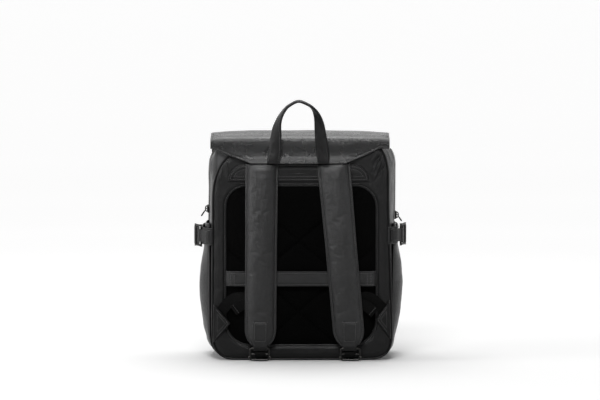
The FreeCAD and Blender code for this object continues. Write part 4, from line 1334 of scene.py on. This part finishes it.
    # the band tips over where it turns in the plane
    tip = 0.30 * np.exp(-((f_ - 0.36) / 0.16) ** 2)
    wd[:, 1] = tip
    wd /= np.linalg.norm(wd, axis=1, keepdims=True)
    P_ = np.stack([A[:, 0], ya, A[:, 1]], axis=-1)
    hook = [(A[-1, 0], -80.2, 26), (A[-1, 0], -80.2, 16), (A[-1, 0], -80.6, 9.6), (A[-1, 0], -83.0, 7.8), (A[-1, 0], -86.8, 8.4), (A[-1, 0], -88.9, 11.0), (A[-1, 0], -88.9, 14.2), (A[-1, 0], -86.6, 16.2), (A[-1, 0], -83.2, 16.4)]
    H_ = resample(catmull(np.array(hook, float), 6), 1.0)
    P_ = np.vstack([P_, H_])
    W_ = np.vstack([wd, np.tile(wd[-1] * np.array([1, 0, 1]), (len(H_), 1))])
    wv_ = ticks(19.4, 2.2, grooves=(2.4, 17.0), edge=(0, 0.3, 0.7)) - 9.7
    S_ = P_[:, None, :] + W_[:, None, :] * wv_[None, :, None]
    n_ = normals(S_)
    sd_ = 1 if n_[6, 5, 1] < 0 else -1
    dp_ = -0.15 * np.exp(-((np.abs(wv_) - 7.3) / 0.7) ** 2)[None, :] + 0.10 * np.sin(np.arange(len(P_)) * 1.6)[:, None]
    web, Fw, Nw = patch(side + "_webbing_band", S_, 1.5, None, "webbing", M_WEB, disp=dp_ + 0 * S_[..., 0], side=sd_, replaces=(side + "_webbing",), back=False)
    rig.blend(web, "bag", side + "_strap", start=((-128 if side == "left" else 137) * MM, (-76 + SY) * MM, 0.090), end=((-104 if side == "left" else 112) * MM, (-82 + SY) * MM, 0.104))
    # hemmed free end that comes back from behind the strap and lies over the band
    if side == "left":
        fe = [(-76, 100, -84.2), (-90, 101.5, -84.6), (-101, 98.5, -84.8), (-109.5, 93.2, -84.6), (-116.2, 88.2, -83.8)]
    else:
        fe = [(92, 100, -84.2), (104, 100.5, -84.6), (115, 96.5, -84.8), (123.5, 90.4, -84.6), (130.5, 84.2, -83.8)]
    fe = catmull(np.array([(a_, c_, b_) for a_, b_, c_ in fe], float), 8)
    fe = resample(fe, 1.4)
    t_ = np.gradient(fe, axis=0)
    t_ /= np.linalg.norm(t_, axis=1, keepdims=True)
    wd = np.cross(t_, np.array([0, 1, 0]))
    wd /= np.linalg.norm(wd, axis=1, keepdims=True)
    dl = np.r_[0, np.cumsum(np.linalg.norm(np.diff(fe, axis=0), axis=1))]
    hemd = dl[-1] - dl
    def hem(p, w_):
        return (0.85 * (1 - smooth01((hemd[:len(p)] - 7.5) / 0.8)))[:, None] * np.ones((1, len(w_)))
    wv_ = ticks(18.6, 2.2, grooves=(2.4, 16.2), edge=(0, 0.3, 0.7)) - 9.3
    S_ = fe[:, None, :] + wd[:, None, :] * wv_[None, :, None]
    n_ = normals(S_)
    sd_ = 1 if n_[6, 5, 1] < 0 else -1
    dp_ = hem(fe, wv_) - 0.12 * np.exp(-((np.abs(wv_) - 7.0) / 0.7) ** 2)[None, :]
    ob, Fe, Ne = patch(side + "_webbing_end", S_, 1.5, body, "webbing", M_WEB, disp=dp_, side=sd_, back=False)
    i_ = int(np.argmin(abs(hemd - 6.2)))
    stitch(body, Fe[i_, 1:-1], Ne[i_, 1:-1], pitch=3.2, length=2.4)


# =====================================================================
# side pockets, compression straps, side buckles
# =====================================================================
PK = {
    "left": [(240, 165.8), (226, 166.2), (205, 167.6), (190, 169.6), (170, 172.8), (150, 175.6), (130, 177.2), (105, 176.4), (88, 174.4), (70, 171.8), (52, 169.4),
             (40, 166.0), (31, 163.4), (22, 158.5), (14, 151.5), (8, 143.5)],
    "right": [(240, 167.6), (226, 169.0), (205, 171.6), (190, 174.2), (175, 177.2), (155, 179.2), (130, 180.4), (105, 179.2), (88, 177.2), (70, 174.6), (56, 171.8),
              (42, 168.6), (31, 166.0), (22, 163.2), (15, 159.0), (9, 152.0)],
}
for side, s in (("left", -1.0), ("right", 1.0)):
    pk = catmull(np.array([(x, z) for z, x in PK[side]], float), 10)
    pk = resample(pk, n=118)
    # a doubled hem at the top: more rows there
    t_ = np.r_[0, np.cumsum(np.linalg.norm(np.diff(pk, axis=0), axis=1))]
    rows_ = ticks(t_[-1], 2.6, grooves=(2.8, 14.0))
    pk = np.stack([np.interp(rows_, t_, pk[:, 0]), np.interp(rows_, t_, pk[:, 1])], axis=-1)
    bb_ = ticks(108.0, 2.6, grooves=(3.2, 104.8)) - 54.0
    S_g, Fg, Ng, mid = GMID[side]
    S = np.zeros((len(pk), len(bb_), 3))
    for i, (x, z) in enumerate(pk):
        gx = float(np.interp(z, mid[::-1, 1], np.abs(mid[::-1, 0]))) + 1.5
        w = np.abs(bb_) / 54.0
        prof_ = 1 - w ** 3.2
        S[i, :, 0] = s * (gx + (x - gx) * prof_ - 1.4 * (1 - prof_))
        S[i, :, 1] = bb_
        S[i, :, 2] = z - 1.2 * prof_ * smooth01((z - 225) / 15) * 2.0
    n_ = normals(S)
    sd_ = 1 if n_[30, 20, 0] * s > 0 else -1
    de = np.minimum(54 - np.abs(bb_)[None, :], np.minimum(rows_, rows_[-1] - rows_ + 4)[:, None])
    dp = 0.9 * fbm(S, 36.0, 61.0 * s, 3) * smooth01(de / 12) + 0.14 * fbm(S, 9.0, 62.0, 2)
    for g_ in (2.8, 14.0):
        dp = dp - 0.5 * np.exp(-((rows_ - g_) / 0.8) ** 2)[:, None]
    dp = dp + 0.5 * (1 - smooth01((rows_ - 13.0) / 1.6))[:, None] * smooth01(rows_ / 2.0)[:, None]
    dp = dp - 0.5 * np.exp(-((np.abs(bb_) - 50.8) / 0.8) ** 2)[None, :]
    # gathers at the lower edge
    dp = dp + 0.8 * (0.4 - np.abs(np.sin(bb_ / 6.2 + 1.4 * s)))[None, :] * smooth01((70 - S[..., 2]) / 50) * smooth01(de / 8)
    ob, Fk, Nk = patch(side + "_side_pocket_leather", S, 2.3, "bag", "leather_body", M_BODY, disp=dp, side=sd_, replaces=(side + "_side_pocket",))
    for g_ in (2.8, 14.0):
        i_ = int(np.argmin(abs(rows_ - g_)))
        stitch("bag", Fk[i_, 3:-3], Nk[i_, 3:-3], pitch=3.9)
    for g_ in (-50.8, 50.8):
        j_ = int(np.argmin(abs(bb_ - g_)))
        stitch("bag", Fk[4:-3, j_], Nk[4:-3, j_], pitch=3.9)

    # compression strap round the side
    z0 = 202.0 if side == "left" else 204.0
    zc = z0 + 15.0
    pth = [(153.5, -71.4), (157.5, -69.5), (163.0, -62), (168.5, -52), (171.6, -38), (172.6, -15), (172.8, 10), (171.8, 34), (168.6, 52), (163.0, 62), (157.5, 69.5), (153.5, 71.4)]
    pth = catmull(np.array([(s * x, y, zc) for x, y in pth], float), 8)
    ob, Fc, Nc, wc = ribbon_patch(side + "_compression_strap_leather", pth, (0, 0, 1), 30.0, 2.4, "bag", "leather_trim", M_TRIM,
                                  replaces=(side + "_compression_strap",), grooves=(3.0, 27.0), seed=70 + s, facing=(0, -1, 0), step=2.2)
    for g_ in (3.0, 27.0):
        j_ = int(np.argmin(abs(wc + 15 - g_)))
        stitch("bag", Fc[3:-3, j_], Nc[3:-3, j_], pitch=3.8)
    # chape: a short doubled strap from the seam that holds the buckle's inner bar
    px_, py_ = (173.6, -44.0) if side == "left" else (177.0, -44.0)
    cs_ = -3.4 if side == "left" else 0.0
    ch = [(159.5, -70.6), (164.5, -66.4), (170.0, -60.0), (174.0, -52.5), (177.0, -46.9), (179.2, -45.4), (179.9, -43.4), (178.6, -41.3), (176.4, -41.0), (174.9, -42.6), (173.9, -47.0), (171.0, -54.0)]
    ch = catmull(np.array([(s * (x + (cs_ if x > 165 else cs_ * 0.4)), y, zc) for x, y in ch], float), 8)
    ob, Fc, Nc, wc = ribbon_patch(side + "_buckle_chape_leather", ch, (0, 0, 1), 22.5, 1.7, "bag", "leather_trim", M_TRIM,
                                  replaces=(side + "_buckle_chape",), grooves=(2.6, 19.9), seed=72 + s, facing=(0, -1, 0), step=1.4)
    for g_ in (2.6, 19.9):
        j_ = int(np.argmin(abs(wc + 11.25 - g_)))
        stitch("bag", Fc[2:16, j_], Nc[2:16, j_], pitch=3.6, length=2.7)
    # buckle: rails, three bars and ball ends
    ang_ = 29.0 if side == "left" else 22.0
    tx_, ty_ = math.sin(math.radians(ang_)), math.cos(math.radians(ang_))
    bk = Bag()
    def at(u, z):
        return (s * (px_ + tx_ * u), py_ + ty_ * u, z)
    zl, zh = z0 - 2.4, z0 + 32.4
    fr = rrect(0.0, 22.0, zl, zh, 2.6, 2.6, 6)
    P_ = np.array([at(a_, b_) for a_, b_ in fr])
    nrm_ = (s * ty_, -tx_, 0)
    V_, F_ = tube(resample(P_, 1.2, closed=True), 2.0, sides=10, closed=True, up=nrm_)
    bk.add(V_, F_)
    for u in (0.0, 13.0):
        V_, F_ = tube(resample([at(u, zl), at(u, zh)], 2.0), 1.5, sides=12, up=nrm_)
        bk.add(V_, F_)
    V_, F_ = tube(resample([at(19.2, zl + 2), at(19.2, zh - 2)], 2.0), 1.9, sides=12, up=nrm_)
    bk.add(V_, F_)
    for u in (0.0, 22.0):
        for zz, d_ in ((zl, -1), (zh, 1)):
            V_, F_ = tube([at(u, zz + d_ * 0.6), at(u, zz + d_ * 1.2), at(u, zz + d_ * 1.9), at(u, zz + d_ * 2.3)], 2.2, sides=10, up=nrm_, taper=(0.9, 1.0, 0.85, 0.4))
            bk.add(V_, F_)
    un = np.array([s * ty_, -tx_])
    thr = [(1.5, -2.6), (5.0, -2.4), (9.0, -1.2), (12.0, 1.6), (13.8, 2.4), (16.5, 2.0), (20.0, -0.6), (23.5, -1.6)]
    thr = catmull(np.array([(s * (px_ + tx_ * u_) + un[0] * -o_, py_ + ty_ * u_ + un[1] * -o_, zc) for u_, o_ in thr], float), 8)
    ribbon_patch(side + "_buckle_strap_end", thr, (0, 0, 1), 30.0, 2.0, side + "_buckle", "leather_trim", M_TRIM, seed=74 + s, facing=(0, -1, 0), step=1.2)
    bk.make(side + "_side_buckle_metal", side + "_buckle", "gunmetal", M_METAL, (side + "_side_buckle",))

# =====================================================================
# side zips
# =====================================================================
ZIP = {"left": (261.0, 16.0), "right": (250.0, 13.5)}
for side, s in (("left", -1.0), ("right", 1.0)):
    zs0, ln_p = ZIP[side]
    S_g, Fg, Ng, mid = GMID[side]
    jm = Fg.shape[1] // 2
    def gx_at(z, y=0.0):
        jj = int(np.argmin(abs(Fg[60, :, 1] - y)))
        col = Fg[:, jj]
        return float(np.interp(z, col[::-1, 2], np.abs(col[::-1, 0])))
    zz = np.linspace(240.5, 368.0, 84)
    xx = np.array([gx_at(z) for z in zz])
    xx = np.convolve(np.pad(xx, 5, mode="edge"), np.ones(11) / 11, "valid")
    P_ = np.stack([s * (xx + 0.35), np.zeros_like(zz), zz], axis=-1)
    wv_ = ticks(27.0, 2.2, grooves=(3.0, 24.0), edge=(0, 0.3, 0.7)) - 13.5
    S_ = P_[:, None, :] + np.array([0, 1.0, 0])[None, None, :] * wv_[None, :, None]
    # the tape follows the bulge of the gusset across its width
    for j_, w_ in enumerate(wv_):
        xj = np.array([gx_at(z, w_) for z in zz])
        xj = np.convolve(np.pad(xj, 5, mode="edge"), np.ones(11) / 11, "valid")
        S_[:, j_, 0] = s * (xj + 0.45)
    n_ = normals(S_)
    sd_ = 1 if n_[20, 5, 0] * s > 0 else -1
    ridge = 0.35 * np.exp(-((np.abs(wv_) - 5.2) / 1.2) ** 2)[None, :] - 0.3 * np.exp(-((np.abs(wv_) - 10.5) / 0.7) ** 2)[None, :]
    ob, Fz, Nz = patch(side + "_zip_tape_cloth", S_, 0.8, "bag", "zip_tape", M_TAPE, disp=np.tile(ridge, (len(zz), 1)), side=sd_, replaces=(side + "_zip_tape",), back=False)
    for g_ in (-10.5, 10.5):
        j_ = int(np.argmin(abs(wv_ - g_)))
        stitch("bag", Fz[:, j_], Nz[:, j_], pitch=3.6, length=2.7)
    tb = Bag()
    z = 243.0
    kk = 0
    while z < 366.0:
        x = gx_at(z) + 1.9
        sg = -1 if kk % 2 else 1
        yc = sg * 0.9
        a_ = [(-1.9, 0.6), (1.9, 0.6), (1.9, -0.6), (-1.9, -0.6)]
        V_ = []
        for dx_, ins_ in ((-1.1, 0.0), (0.7, 0.0), (1.15, 0.35)):
            for y_, z_ in a_:
                V_.append((s * (x + dx_), yc + y_ * (1 - ins_ * 0.4), z + z_ * (1 - ins_)))
        F_ = [(0, 1, 2, 3), (8, 9, 10, 11)]
        for r_ in (0, 4):
            for q_ in range(4):
                F_.append((r_ + q_, r_ + (q_ + 1) % 4, r_ + 4 + (q_ + 1) % 4, r_ + 4 + q_))
        tb.add(V_, F_)
        z += 1.75
        kk += 1
    tb.make(side + "_zip_teeth_chain", "bag", "zip_teeth", M_TEETH, (side + "_zip_teeth",), smooth=False)
    # slider: a waisted shell over the chain with a bridge
    gx0 = max(gx_at(z_) for z_ in np.linspace(zs0 - 5, zs0 + (72 if side == "left" else 83), 24)) + 0.2
    sl = Bag()
    nz_, ny_ = 15, 11
    Fz_ = np.zeros((nz_, ny_, 3))
    Bz_ = np.zeros((nz_, ny_, 3))
    for i, v in enumerate(np.linspace(-1, 1, nz_)):
        half = 4.9 - 1.3 * (v + 1) * 0.5 - 2.2 * max(abs(v) - 0.72, 0) / 0.28 * 0.55
        for j, u in enumerate(np.linspace(-1, 1, ny_)):
            dome = 1 - 0.55 * abs(u) ** 3 - 0.45 * abs(v) ** 5
            Fz_[i, j] = (s * (gx0 + 2.6 + 2.5 * dome), u * half, zs0 + v * 7.2)
            Bz_[i, j] = (s * (gx0 + 1.6 + 1.2 * dome - 0.6), u * half * 0.97, zs0 + v * 7.0)
    nv_ = nz_ * ny_
    V_ = np.vstack([Fz_.reshape(-1, 3), Bz_.reshape(-1, 3)])
    F_ = grid_faces(nz_, ny_) + grid_faces(nz_, ny_, off=nv_, flip=True)
    for i in range(nz_ - 1):
        for j in (0, ny_ - 1):
            F_.append((i * ny_ + j, (i + 1) * ny_ + j, nv_ + (i + 1) * ny_ + j, nv_ + i * ny_ + j))
    for j in range(ny_ - 1):
        for i in (0, nz_ - 1):
            F_.append((i * ny_ + j, i * ny_ + j + 1, nv_ + i * ny_ + j + 1, nv_ + i * ny_ + j))
    sl.add(V_, F_)
    br = catmull(np.array([(s * (gx0 + 4.6), 0, zs0 + 5.4), (s * (gx0 + 7.0), 0, zs0 + 3.4), (s * (gx0 + 7.9), 0, zs0), (s * (gx0 + 7.0), 0, zs0 - 3.4), (s * (gx0 + 4.6), 0, zs0 - 5.4)]), 6)
    V_, F_ = tube(br, 1.0, sides=8, up=(0, 1, 0), squash=1.6)
    sl.add(V_, F_)
    sl.make(side + "_zip_slider_body", side + "_zip", "gunmetal", M_METAL, (side + "_zip_slider",))
    # puller: a wire eye through the bridge and a long flat tongue
    pl = Bag()
    hx, hz = 165.3, zs0
    an = math.radians(34)
    dx_, dz_ = math.sin(an), -math.cos(an)
    ox = gx0 + 6.2 - hx
    def pp_(u, y, o=0.0):
        return (s * (hx + ox * 1.0 + dx_ * u + dz_ * -o), y, hz + dz_ * u + dx_ * o)
    loop = rrect(-1.2, 5.2, -2.4, 2.4, 1.8, 1.8, 5)
    P_ = np.array([pp_(a_, b_) for a_, b_ in loop])
    V_, F_ = tube(resample(P_, 0.8, closed=True), 0.75, sides=8, closed=True, up=(s * math.cos(an), 0, math.sin(an)))
    pl.add(V_, F_)
    L_ = ln_p
    ol = resample(np.array([(4.6, -1.6), (4.6, 1.6), (6.2, 2.5), (L_ - 1.0, 3.0), (L_, 2.2), (L_, -2.2), (L_ - 1.0, -3.0), (6.2, -2.5)], float), 0.7, closed=True)
    R2 = []
    for o_, sc_ in ((-0.45, 0.9), (-0.8, 0.82), (-0.8, 0.1), ):
        pass
    cen = ol.mean(axis=0)
    layers = [(1.25, 0.05), (1.25, 0.82), (0.8, 1.0), (-0.8, 1.0), (-1.25, 0.82), (-1.25, 0.05)]
    n0 = len(ol)
    V_ = []
    for o_, sc_ in layers:
        for a_, b_ in cen + (ol - cen) * sc_:
            V_.append(pp_(a_, b_, o_))
    F_ = []
    for l_ in range(len(layers) - 1):
        for q_ in range(n0):
            r_ = (q_ + 1) % n0
            F_.append((l_ * n0 + q_, l_ * n0 + r_, (l_ + 1) * n0 + r_, (l_ + 1) * n0 + q_))
    F_.append(tuple(range(n0)))
    F_.append(tuple(range((len(layers) - 1) * n0, len(layers) * n0))[::-1])
    pl.add(V_, F_)
    pl.make(side + "_zip_puller_tongue", side + "_pull", "gunmetal", M_METAL, (side + "_zip_puller",))

# =====================================================================
# closure straps, frames and magnets on the front
# =====================================================================
i_front = int(np.argmin(abs(xt)))
bgb = Bag()
for n_i, sx in enumerate((-72.0, 72.0)):
    zz = np.r_[np.linspace(300, 141, 60), np.linspace(138, 128, 8)]
    yv = np.interp(zz, [128, 150, 200, 260, 300], [80.0, 80.9, 81.6, 81.4, 81.0])
    P_ = np.stack([np.full_like(zz, sx), yv, zz], axis=-1)
    Lz = 172.0
    ob, Fq, Nq, wq = ribbon_patch("closure_strap_%d" % n_i, P_, (1, 0, 0), 28.0, 2.3, "flap_body", "leather_trim", M_TRIM, replaces=("closure_straps",) if n_i == 0 else (),
                                  grooves=(3.2, 24.8), seed=80 + n_i, facing=(0, 1, 0), step=2.0,
                                  wfun=lambda t: 1.0 if t < 0.925 else max(math.sqrt(max(1 - ((t - 0.925) / 0.078) ** 2, 0.0)), 0.12))
    for g_ in (3.2, 24.8):
        j_ = int(np.argmin(abs(wq + 14 - g_)))
        stitch("flap_body", Fq[2:-8, j_], Nq[2:-8, j_], pitch=3.8)
    stitch("flap_body", Fq[3, 3:-3], Nq[3, 3:-3], pitch=3.6)
    fr = rrect(sx - 17.0, sx + 17.0, 161.5, 184.5, 3.4, 3.4, 6)
    P_ = np.stack([fr[:, 0], np.full(len(fr), 83.6), fr[:, 1]], axis=-1)
    V_, F_ = tube(resample(P_, 1.3, closed=True), 1.55, sides=10, closed=True, up=(0, 1, 0))
    bgb.add(V_, F_)
    V_, F_ = tube(resample([(sx - 16, 83.6, 173), (sx + 16, 83.6, 173)], 2.0), 1.3, sides=10, up=(0, 1, 0))
    bgb.add(V_, F_)
    V_, F_ = tube(resample(catmull(np.array([(sx, 84.4, 174.5), (sx, 85.4, 172.0), (sx, 85.4, 164), (sx, 84.9, 159.6)]), 5), 1.2), 1.1, sides=8, up=(0, 1, 0))
    bgb.add(V_, F_)
bgb.make("closure_frames", "flap_body", "gunmetal", M_METAL, ("closure_buckles",))
for nm, y0_, y1_, body, node in (("flap_magnet_discs", 76.2, 73.9, "flap_body", "flap_magnets"), ("body_magnet_discs", 73.3, 70.8, "bag", "body_magnets")):
    bgm = Bag()
    for sx in (-72.0, 72.0):
        ring = []
        for y_, r_ in ((y0_, 6.0), (y0_, 7.6), ((y0_ + y1_) / 2, 8.2), (y1_, 7.6), (y1_, 3.2), (y1_ + 0.5 * (1 if y0_ > y1_ else -1), 2.8)):
            ring.append([(sx + r_ * math.cos(a_), y_, 205 + r_ * math.sin(a_)) for a_ in np.linspace(0, 2 * math.pi, 29)[:-1]])
        V_ = [q for r_ in ring for q in r_]
        n0 = 28
        F_ = []
        for l_ in range(len(ring) - 1):
            for q_ in range(n0):
                r_ = (q_ + 1) % n0
                F_.append((l_ * n0 + q_, l_ * n0 + r_, (l_ + 1) * n0 + r_, (l_ + 1) * n0 + q_))
        F_.append(tuple(range(n0)))
        F_.append(tuple(range((len(ring) - 1) * n0, len(ring) * n0))[::-1])
        bgm.add(V_, F_)
    bgm.make(nm, body, "magnet", M_SNAP, (node,))

# =====================================================================
# inside: lining with a bound mouth, laptop sleeve
# =====================================================================
lo = rrect(-152.6, 152.6, -65.2, 67.4, 9, 9, 8)
lo = resample(lo, 4.0, closed=True)
cen = np.array([0.0, 1.1])
rows_ = []
for z in [374.5, 374.2, 373.2, 371.5, 369.0, 366.4] + list(np.linspace(360, 42, 54)):
    sh = 1.0
    k_ = np.interp(z, [341, 376], [0.0, 7.0])
    o = lo.copy()
    o[:, 0] = np.sign(o[:, 0]) * np.maximum(np.abs(o[:, 0]) - k_, 0)
    rows_.append(np.stack([o[:, 0], o[:, 1], np.full(len(o), z)], axis=-1))
for a_ in np.linspace(0, 90, 9)[1:]:
    o = lo.copy()
    r_ = 36.0
    k_ = r_ * (1 - math.cos(math.radians(a_)))
    o[:, 0] = np.sign(o[:, 0]) * np.maximum(np.abs(o[:, 0]) - k_, 0)
    rows_.append(np.stack([o[:, 0], o[:, 1], np.full(len(o), 41 - r_ * math.sin(math.radians(a_)) * 0.985)], axis=-1))
for sc_ in (0.9, 0.75, 0.55, 0.35, 0.15, 0.02):
    o = rows_[-1][:, :2] * 0
    l_ = rows_[54 + 6 + 8 - 1]
    o = cen + (l_[:, :2] - cen) * sc_
    rows_.append(np.stack([o[:, 0], o[:, 1], np.full(len(o), 5.4)], axis=-1))
S = np.stack(rows_, axis=1)
n_ = normals(S, True)
mid_ = S[:, 20]
sd_ = 1 if np.mean(np.sum(n_[:, 20, :2] * (mid_[:, :2] - cen), axis=1)) < 0 else -1
wv_ = 0.7 * np.abs(fbm(S, 30.0, 90.0, 3)) * smooth01((368 - S[..., 2]) / 20) + 0.6 * (1 - smooth01((np.abs(S[..., 2] - 370)) / 7.0))
ob, Fl, Nl = patch("lining_cloth", S, 1.1, "bag", "lining", M_LINING, disp=wv_, closed_u=True, side=sd_, replaces=("lining",), back=False)
iz = 5
stitch("bag", Fl[:, iz], Nl[:, iz], closed=True, pitch=4.0)
su = ticks(246, 5.0, grooves=(6.0, 240.0)) - 123.0
sv = 9.0 + ticks(281, 5.0, grooves=(12.0, 273.0))
S = np.zeros((len(su), len(sv), 3))
S[..., 0] = su[:, None]
S[..., 2] = sv[None, :]
S[..., 1] = -46.0
de = np.minimum(np.minimum(su + 123, 123 - su)[:, None], np.minimum(sv - 9, 290 - sv)[None, :])
qx = np.abs(((S[..., 0] + S[..., 2]) / 42.0) % 1.0 - 0.5)
qz = np.abs(((S[..., 0] - S[..., 2]) / 42.0) % 1.0 - 0.5)
ql = np.minimum(qx, qz) * 42.0 / 1.41
dp = 1.1 * (1 - np.exp(-ql / 2.4)) * smooth01((de - 8) / 6) - 0.5 * np.exp(-((de - 6.0) / 0.9) ** 2)
ob, Fv, Nv = patch("laptop_sleeve_pad", S, 3.6, "bag", "lining", M_LINING, disp=dp, side=1 if normals(S)[5, 5, 1] > 0 else -1, replaces=("laptop_sleeve",))
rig.padded(ob, fill=0.4)


# =====================================================================
# thread, stage, light, camera
# =====================================================================
for key, bag_ in STITCH.items():
    if key in ("handle", "left_strap", "right_strap"):
        o_ = bag_.make("stitches_" + key, None, "webbing", M_THREAD)
        a_, b_ = H_BEND if key == "handle" else S_BEND
        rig.blend(o_, "bag", key, start=a_, end=b_)
        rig.slot(o_, "webbing")
    else:
        bag_.make("stitches_" + key, "bag" if key == "mesh" else key, "webbing", M_THREAD if key != "mesh" else M_MESH)

# inner boards keep their CAD shape
for n_, m_ in (("back_board", M_BOARD), ("base_board", M_BOARD)):
    o_ = frame["nodes"][n_]
    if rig.alive(o_):
        o_.data.materials.clear()
        o_.data.materials.append(m_)

fl = bpy.data.meshes.new("floor")
R_ = 260.0
fl.from_pydata([(-R_, -R_, -0.0004), (R_, -R_, -0.0004), (R_, R_, -0.0004), (-R_, R_, -0.0004)], [], [(0, 1, 2, 3)])
flo = bpy.data.objects.new("floor", fl)
bpy.context.scene.collection.objects.link(flo)
fm, fnt, fbs = nodes_of("floor_white")
fbs.inputs["Base Color"].default_value = (0.40, 0.40, 0.40, 1)
fbs.inputs["Roughness"].default_value = 0.8
fbs.inputs["Specular IOR Level"].default_value = 0.05
fbs.inputs["Emission Color"].default_value = (1, 1, 1, 1)
ftc = fnt.nodes.new("ShaderNodeTexCoord")
fse = fnt.nodes.new("ShaderNodeVectorMath")
fse.operation = "DISTANCE"
fse.inputs[1].default_value = (0.0, -0.30, 0.0)
fmr = fnt.nodes.new("ShaderNodeMapRange")
fmr.inputs["From Min"].default_value = 0.0
fmr.inputs["From Max"].default_value = 10.0
fnt.links.new(ftc.outputs["Object"], fse.inputs[0])
fnt.links.new(fse.outputs["Value"], fmr.inputs["Value"])
FE = [(-0.3, 0.0), (-0.05, 0.02), (0.15, 0.05), (0.38, 0.11), (0.71, 0.21), (1.10, 0.35), (1.77, 0.545), (2.61, 0.685), (3.68, 0.754), (5.69, 0.79), (9.7, 0.80)]
frm = ramp(fnt, [(y_ + 0.3) / 10 for y_, _ in FE], [g3(e_) for _, e_ in FE])
fnt.links.new(fmr.outputs["Result"], frm.inputs["Fac"])
fnt.links.new(frm.outputs["Color"], fbs.inputs["Emission Strength"])
fl.materials.append(fm)
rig.stage(flo)

world = bpy.data.worlds.new("studio")
bpy.context.scene.world = world
world.use_nodes = True
wn_ = world.node_tree
bg = wn_.nodes["Background"]
tcw = wn_.nodes.new("ShaderNodeTexCoord")
sep = wn_.nodes.new("ShaderNodeSeparateXYZ")
wr_ = wn_.nodes.new("ShaderNodeValToRGB")
mr_ = wn_.nodes.new("ShaderNodeMapRange")
mr_.inputs["From Min"].default_value = -1.0
mr_.inputs["From Max"].default_value = 1.0
wn_.links.new(tcw.outputs["Generated"], sep.inputs["Vector"])
wn_.links.new(sep.outputs["Y"], mr_.inputs["Value"])
wn_.links.new(mr_.outputs["Result"], wr_.inputs["Fac"])
e_ = wr_.color_ramp.elements
e_[0].position, e_[0].color = 0.0, (0.03, 0.03, 0.03, 1)
e_[1].position, e_[1].color = 1.0, (0.96, 0.96, 0.96, 1)
for p_, c_ in ((0.5, 0.06), (0.62, 0.50), (0.75, 0.95)):
    q_ = e_.new(p_)
    q_.color = (c_, c_, c_, 1)
wn_.links.new(wr_.outputs["Color"], bg.inputs["Color"])
bg.inputs["Strength"].default_value = 1.0


def area(name, loc, target, size, power, size_y=None):
    l = bpy.data.lights.new(name, "AREA")
    l.energy = power
    l.shape = "RECTANGLE"
    l.size = size
    l.size_y = size_y or size
    o = bpy.data.objects.new(name, l)
    bpy.context.scene.collection.objects.link(o)
    o.location = loc
    d = Vector(target) - Vector(loc)
    o.rotation_euler = d.to_track_quat("-Z", "Y").to_euler()
    o.visible_camera = False
    return o


area("top_soft", (0.0, 0.35, 1.9), (0, 0, 0.2), 1.5, 50, 1.1)
area("front_soft", (-0.25, -1.9, 2.1), (0, 0, 0.25), 1.0, 78, 0.8)
area("right_soft", (1.7, -0.5, 0.9), (0, 0, 0.2), 0.5, 7.0, 1.2)
area("left_soft", (-1.8, -0.4, 0.9), (0, 0, 0.2), 0.5, 25.0, 1.2)

DIST, ELEV, AZ = 5.0, math.radians(4.3), 0.0
cam = bpy.data.cameras.new("camera")
cam.sensor_width = 36.0
cam.lens = 36.0 * (DIST - 0.06) / 1.05 * 1.014
co = bpy.data.objects.new("camera", cam)
bpy.context.scene.collection.objects.link(co)
target = Vector((0.0, -0.058, 0.2813))
co.location = target + Vector((math.sin(AZ) * math.cos(ELEV), -math.cos(AZ) * math.cos(ELEV), math.sin(ELEV))) * DIST
co.rotation_euler = (target - co.location).to_track_quat("-Z", "Y").to_euler()
cam.clip_end = 600
bpy.context.scene.camera = co
bpy.context.scene.view_settings.view_transform = "Standard"
bpy.context.scene.view_settings.look = "None"

json.dump({"cad": [list(map(float, v)) for v in CAD_BOX], "visual": [list(map(float, v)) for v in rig.bounds()]}, open("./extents.json", "w"))
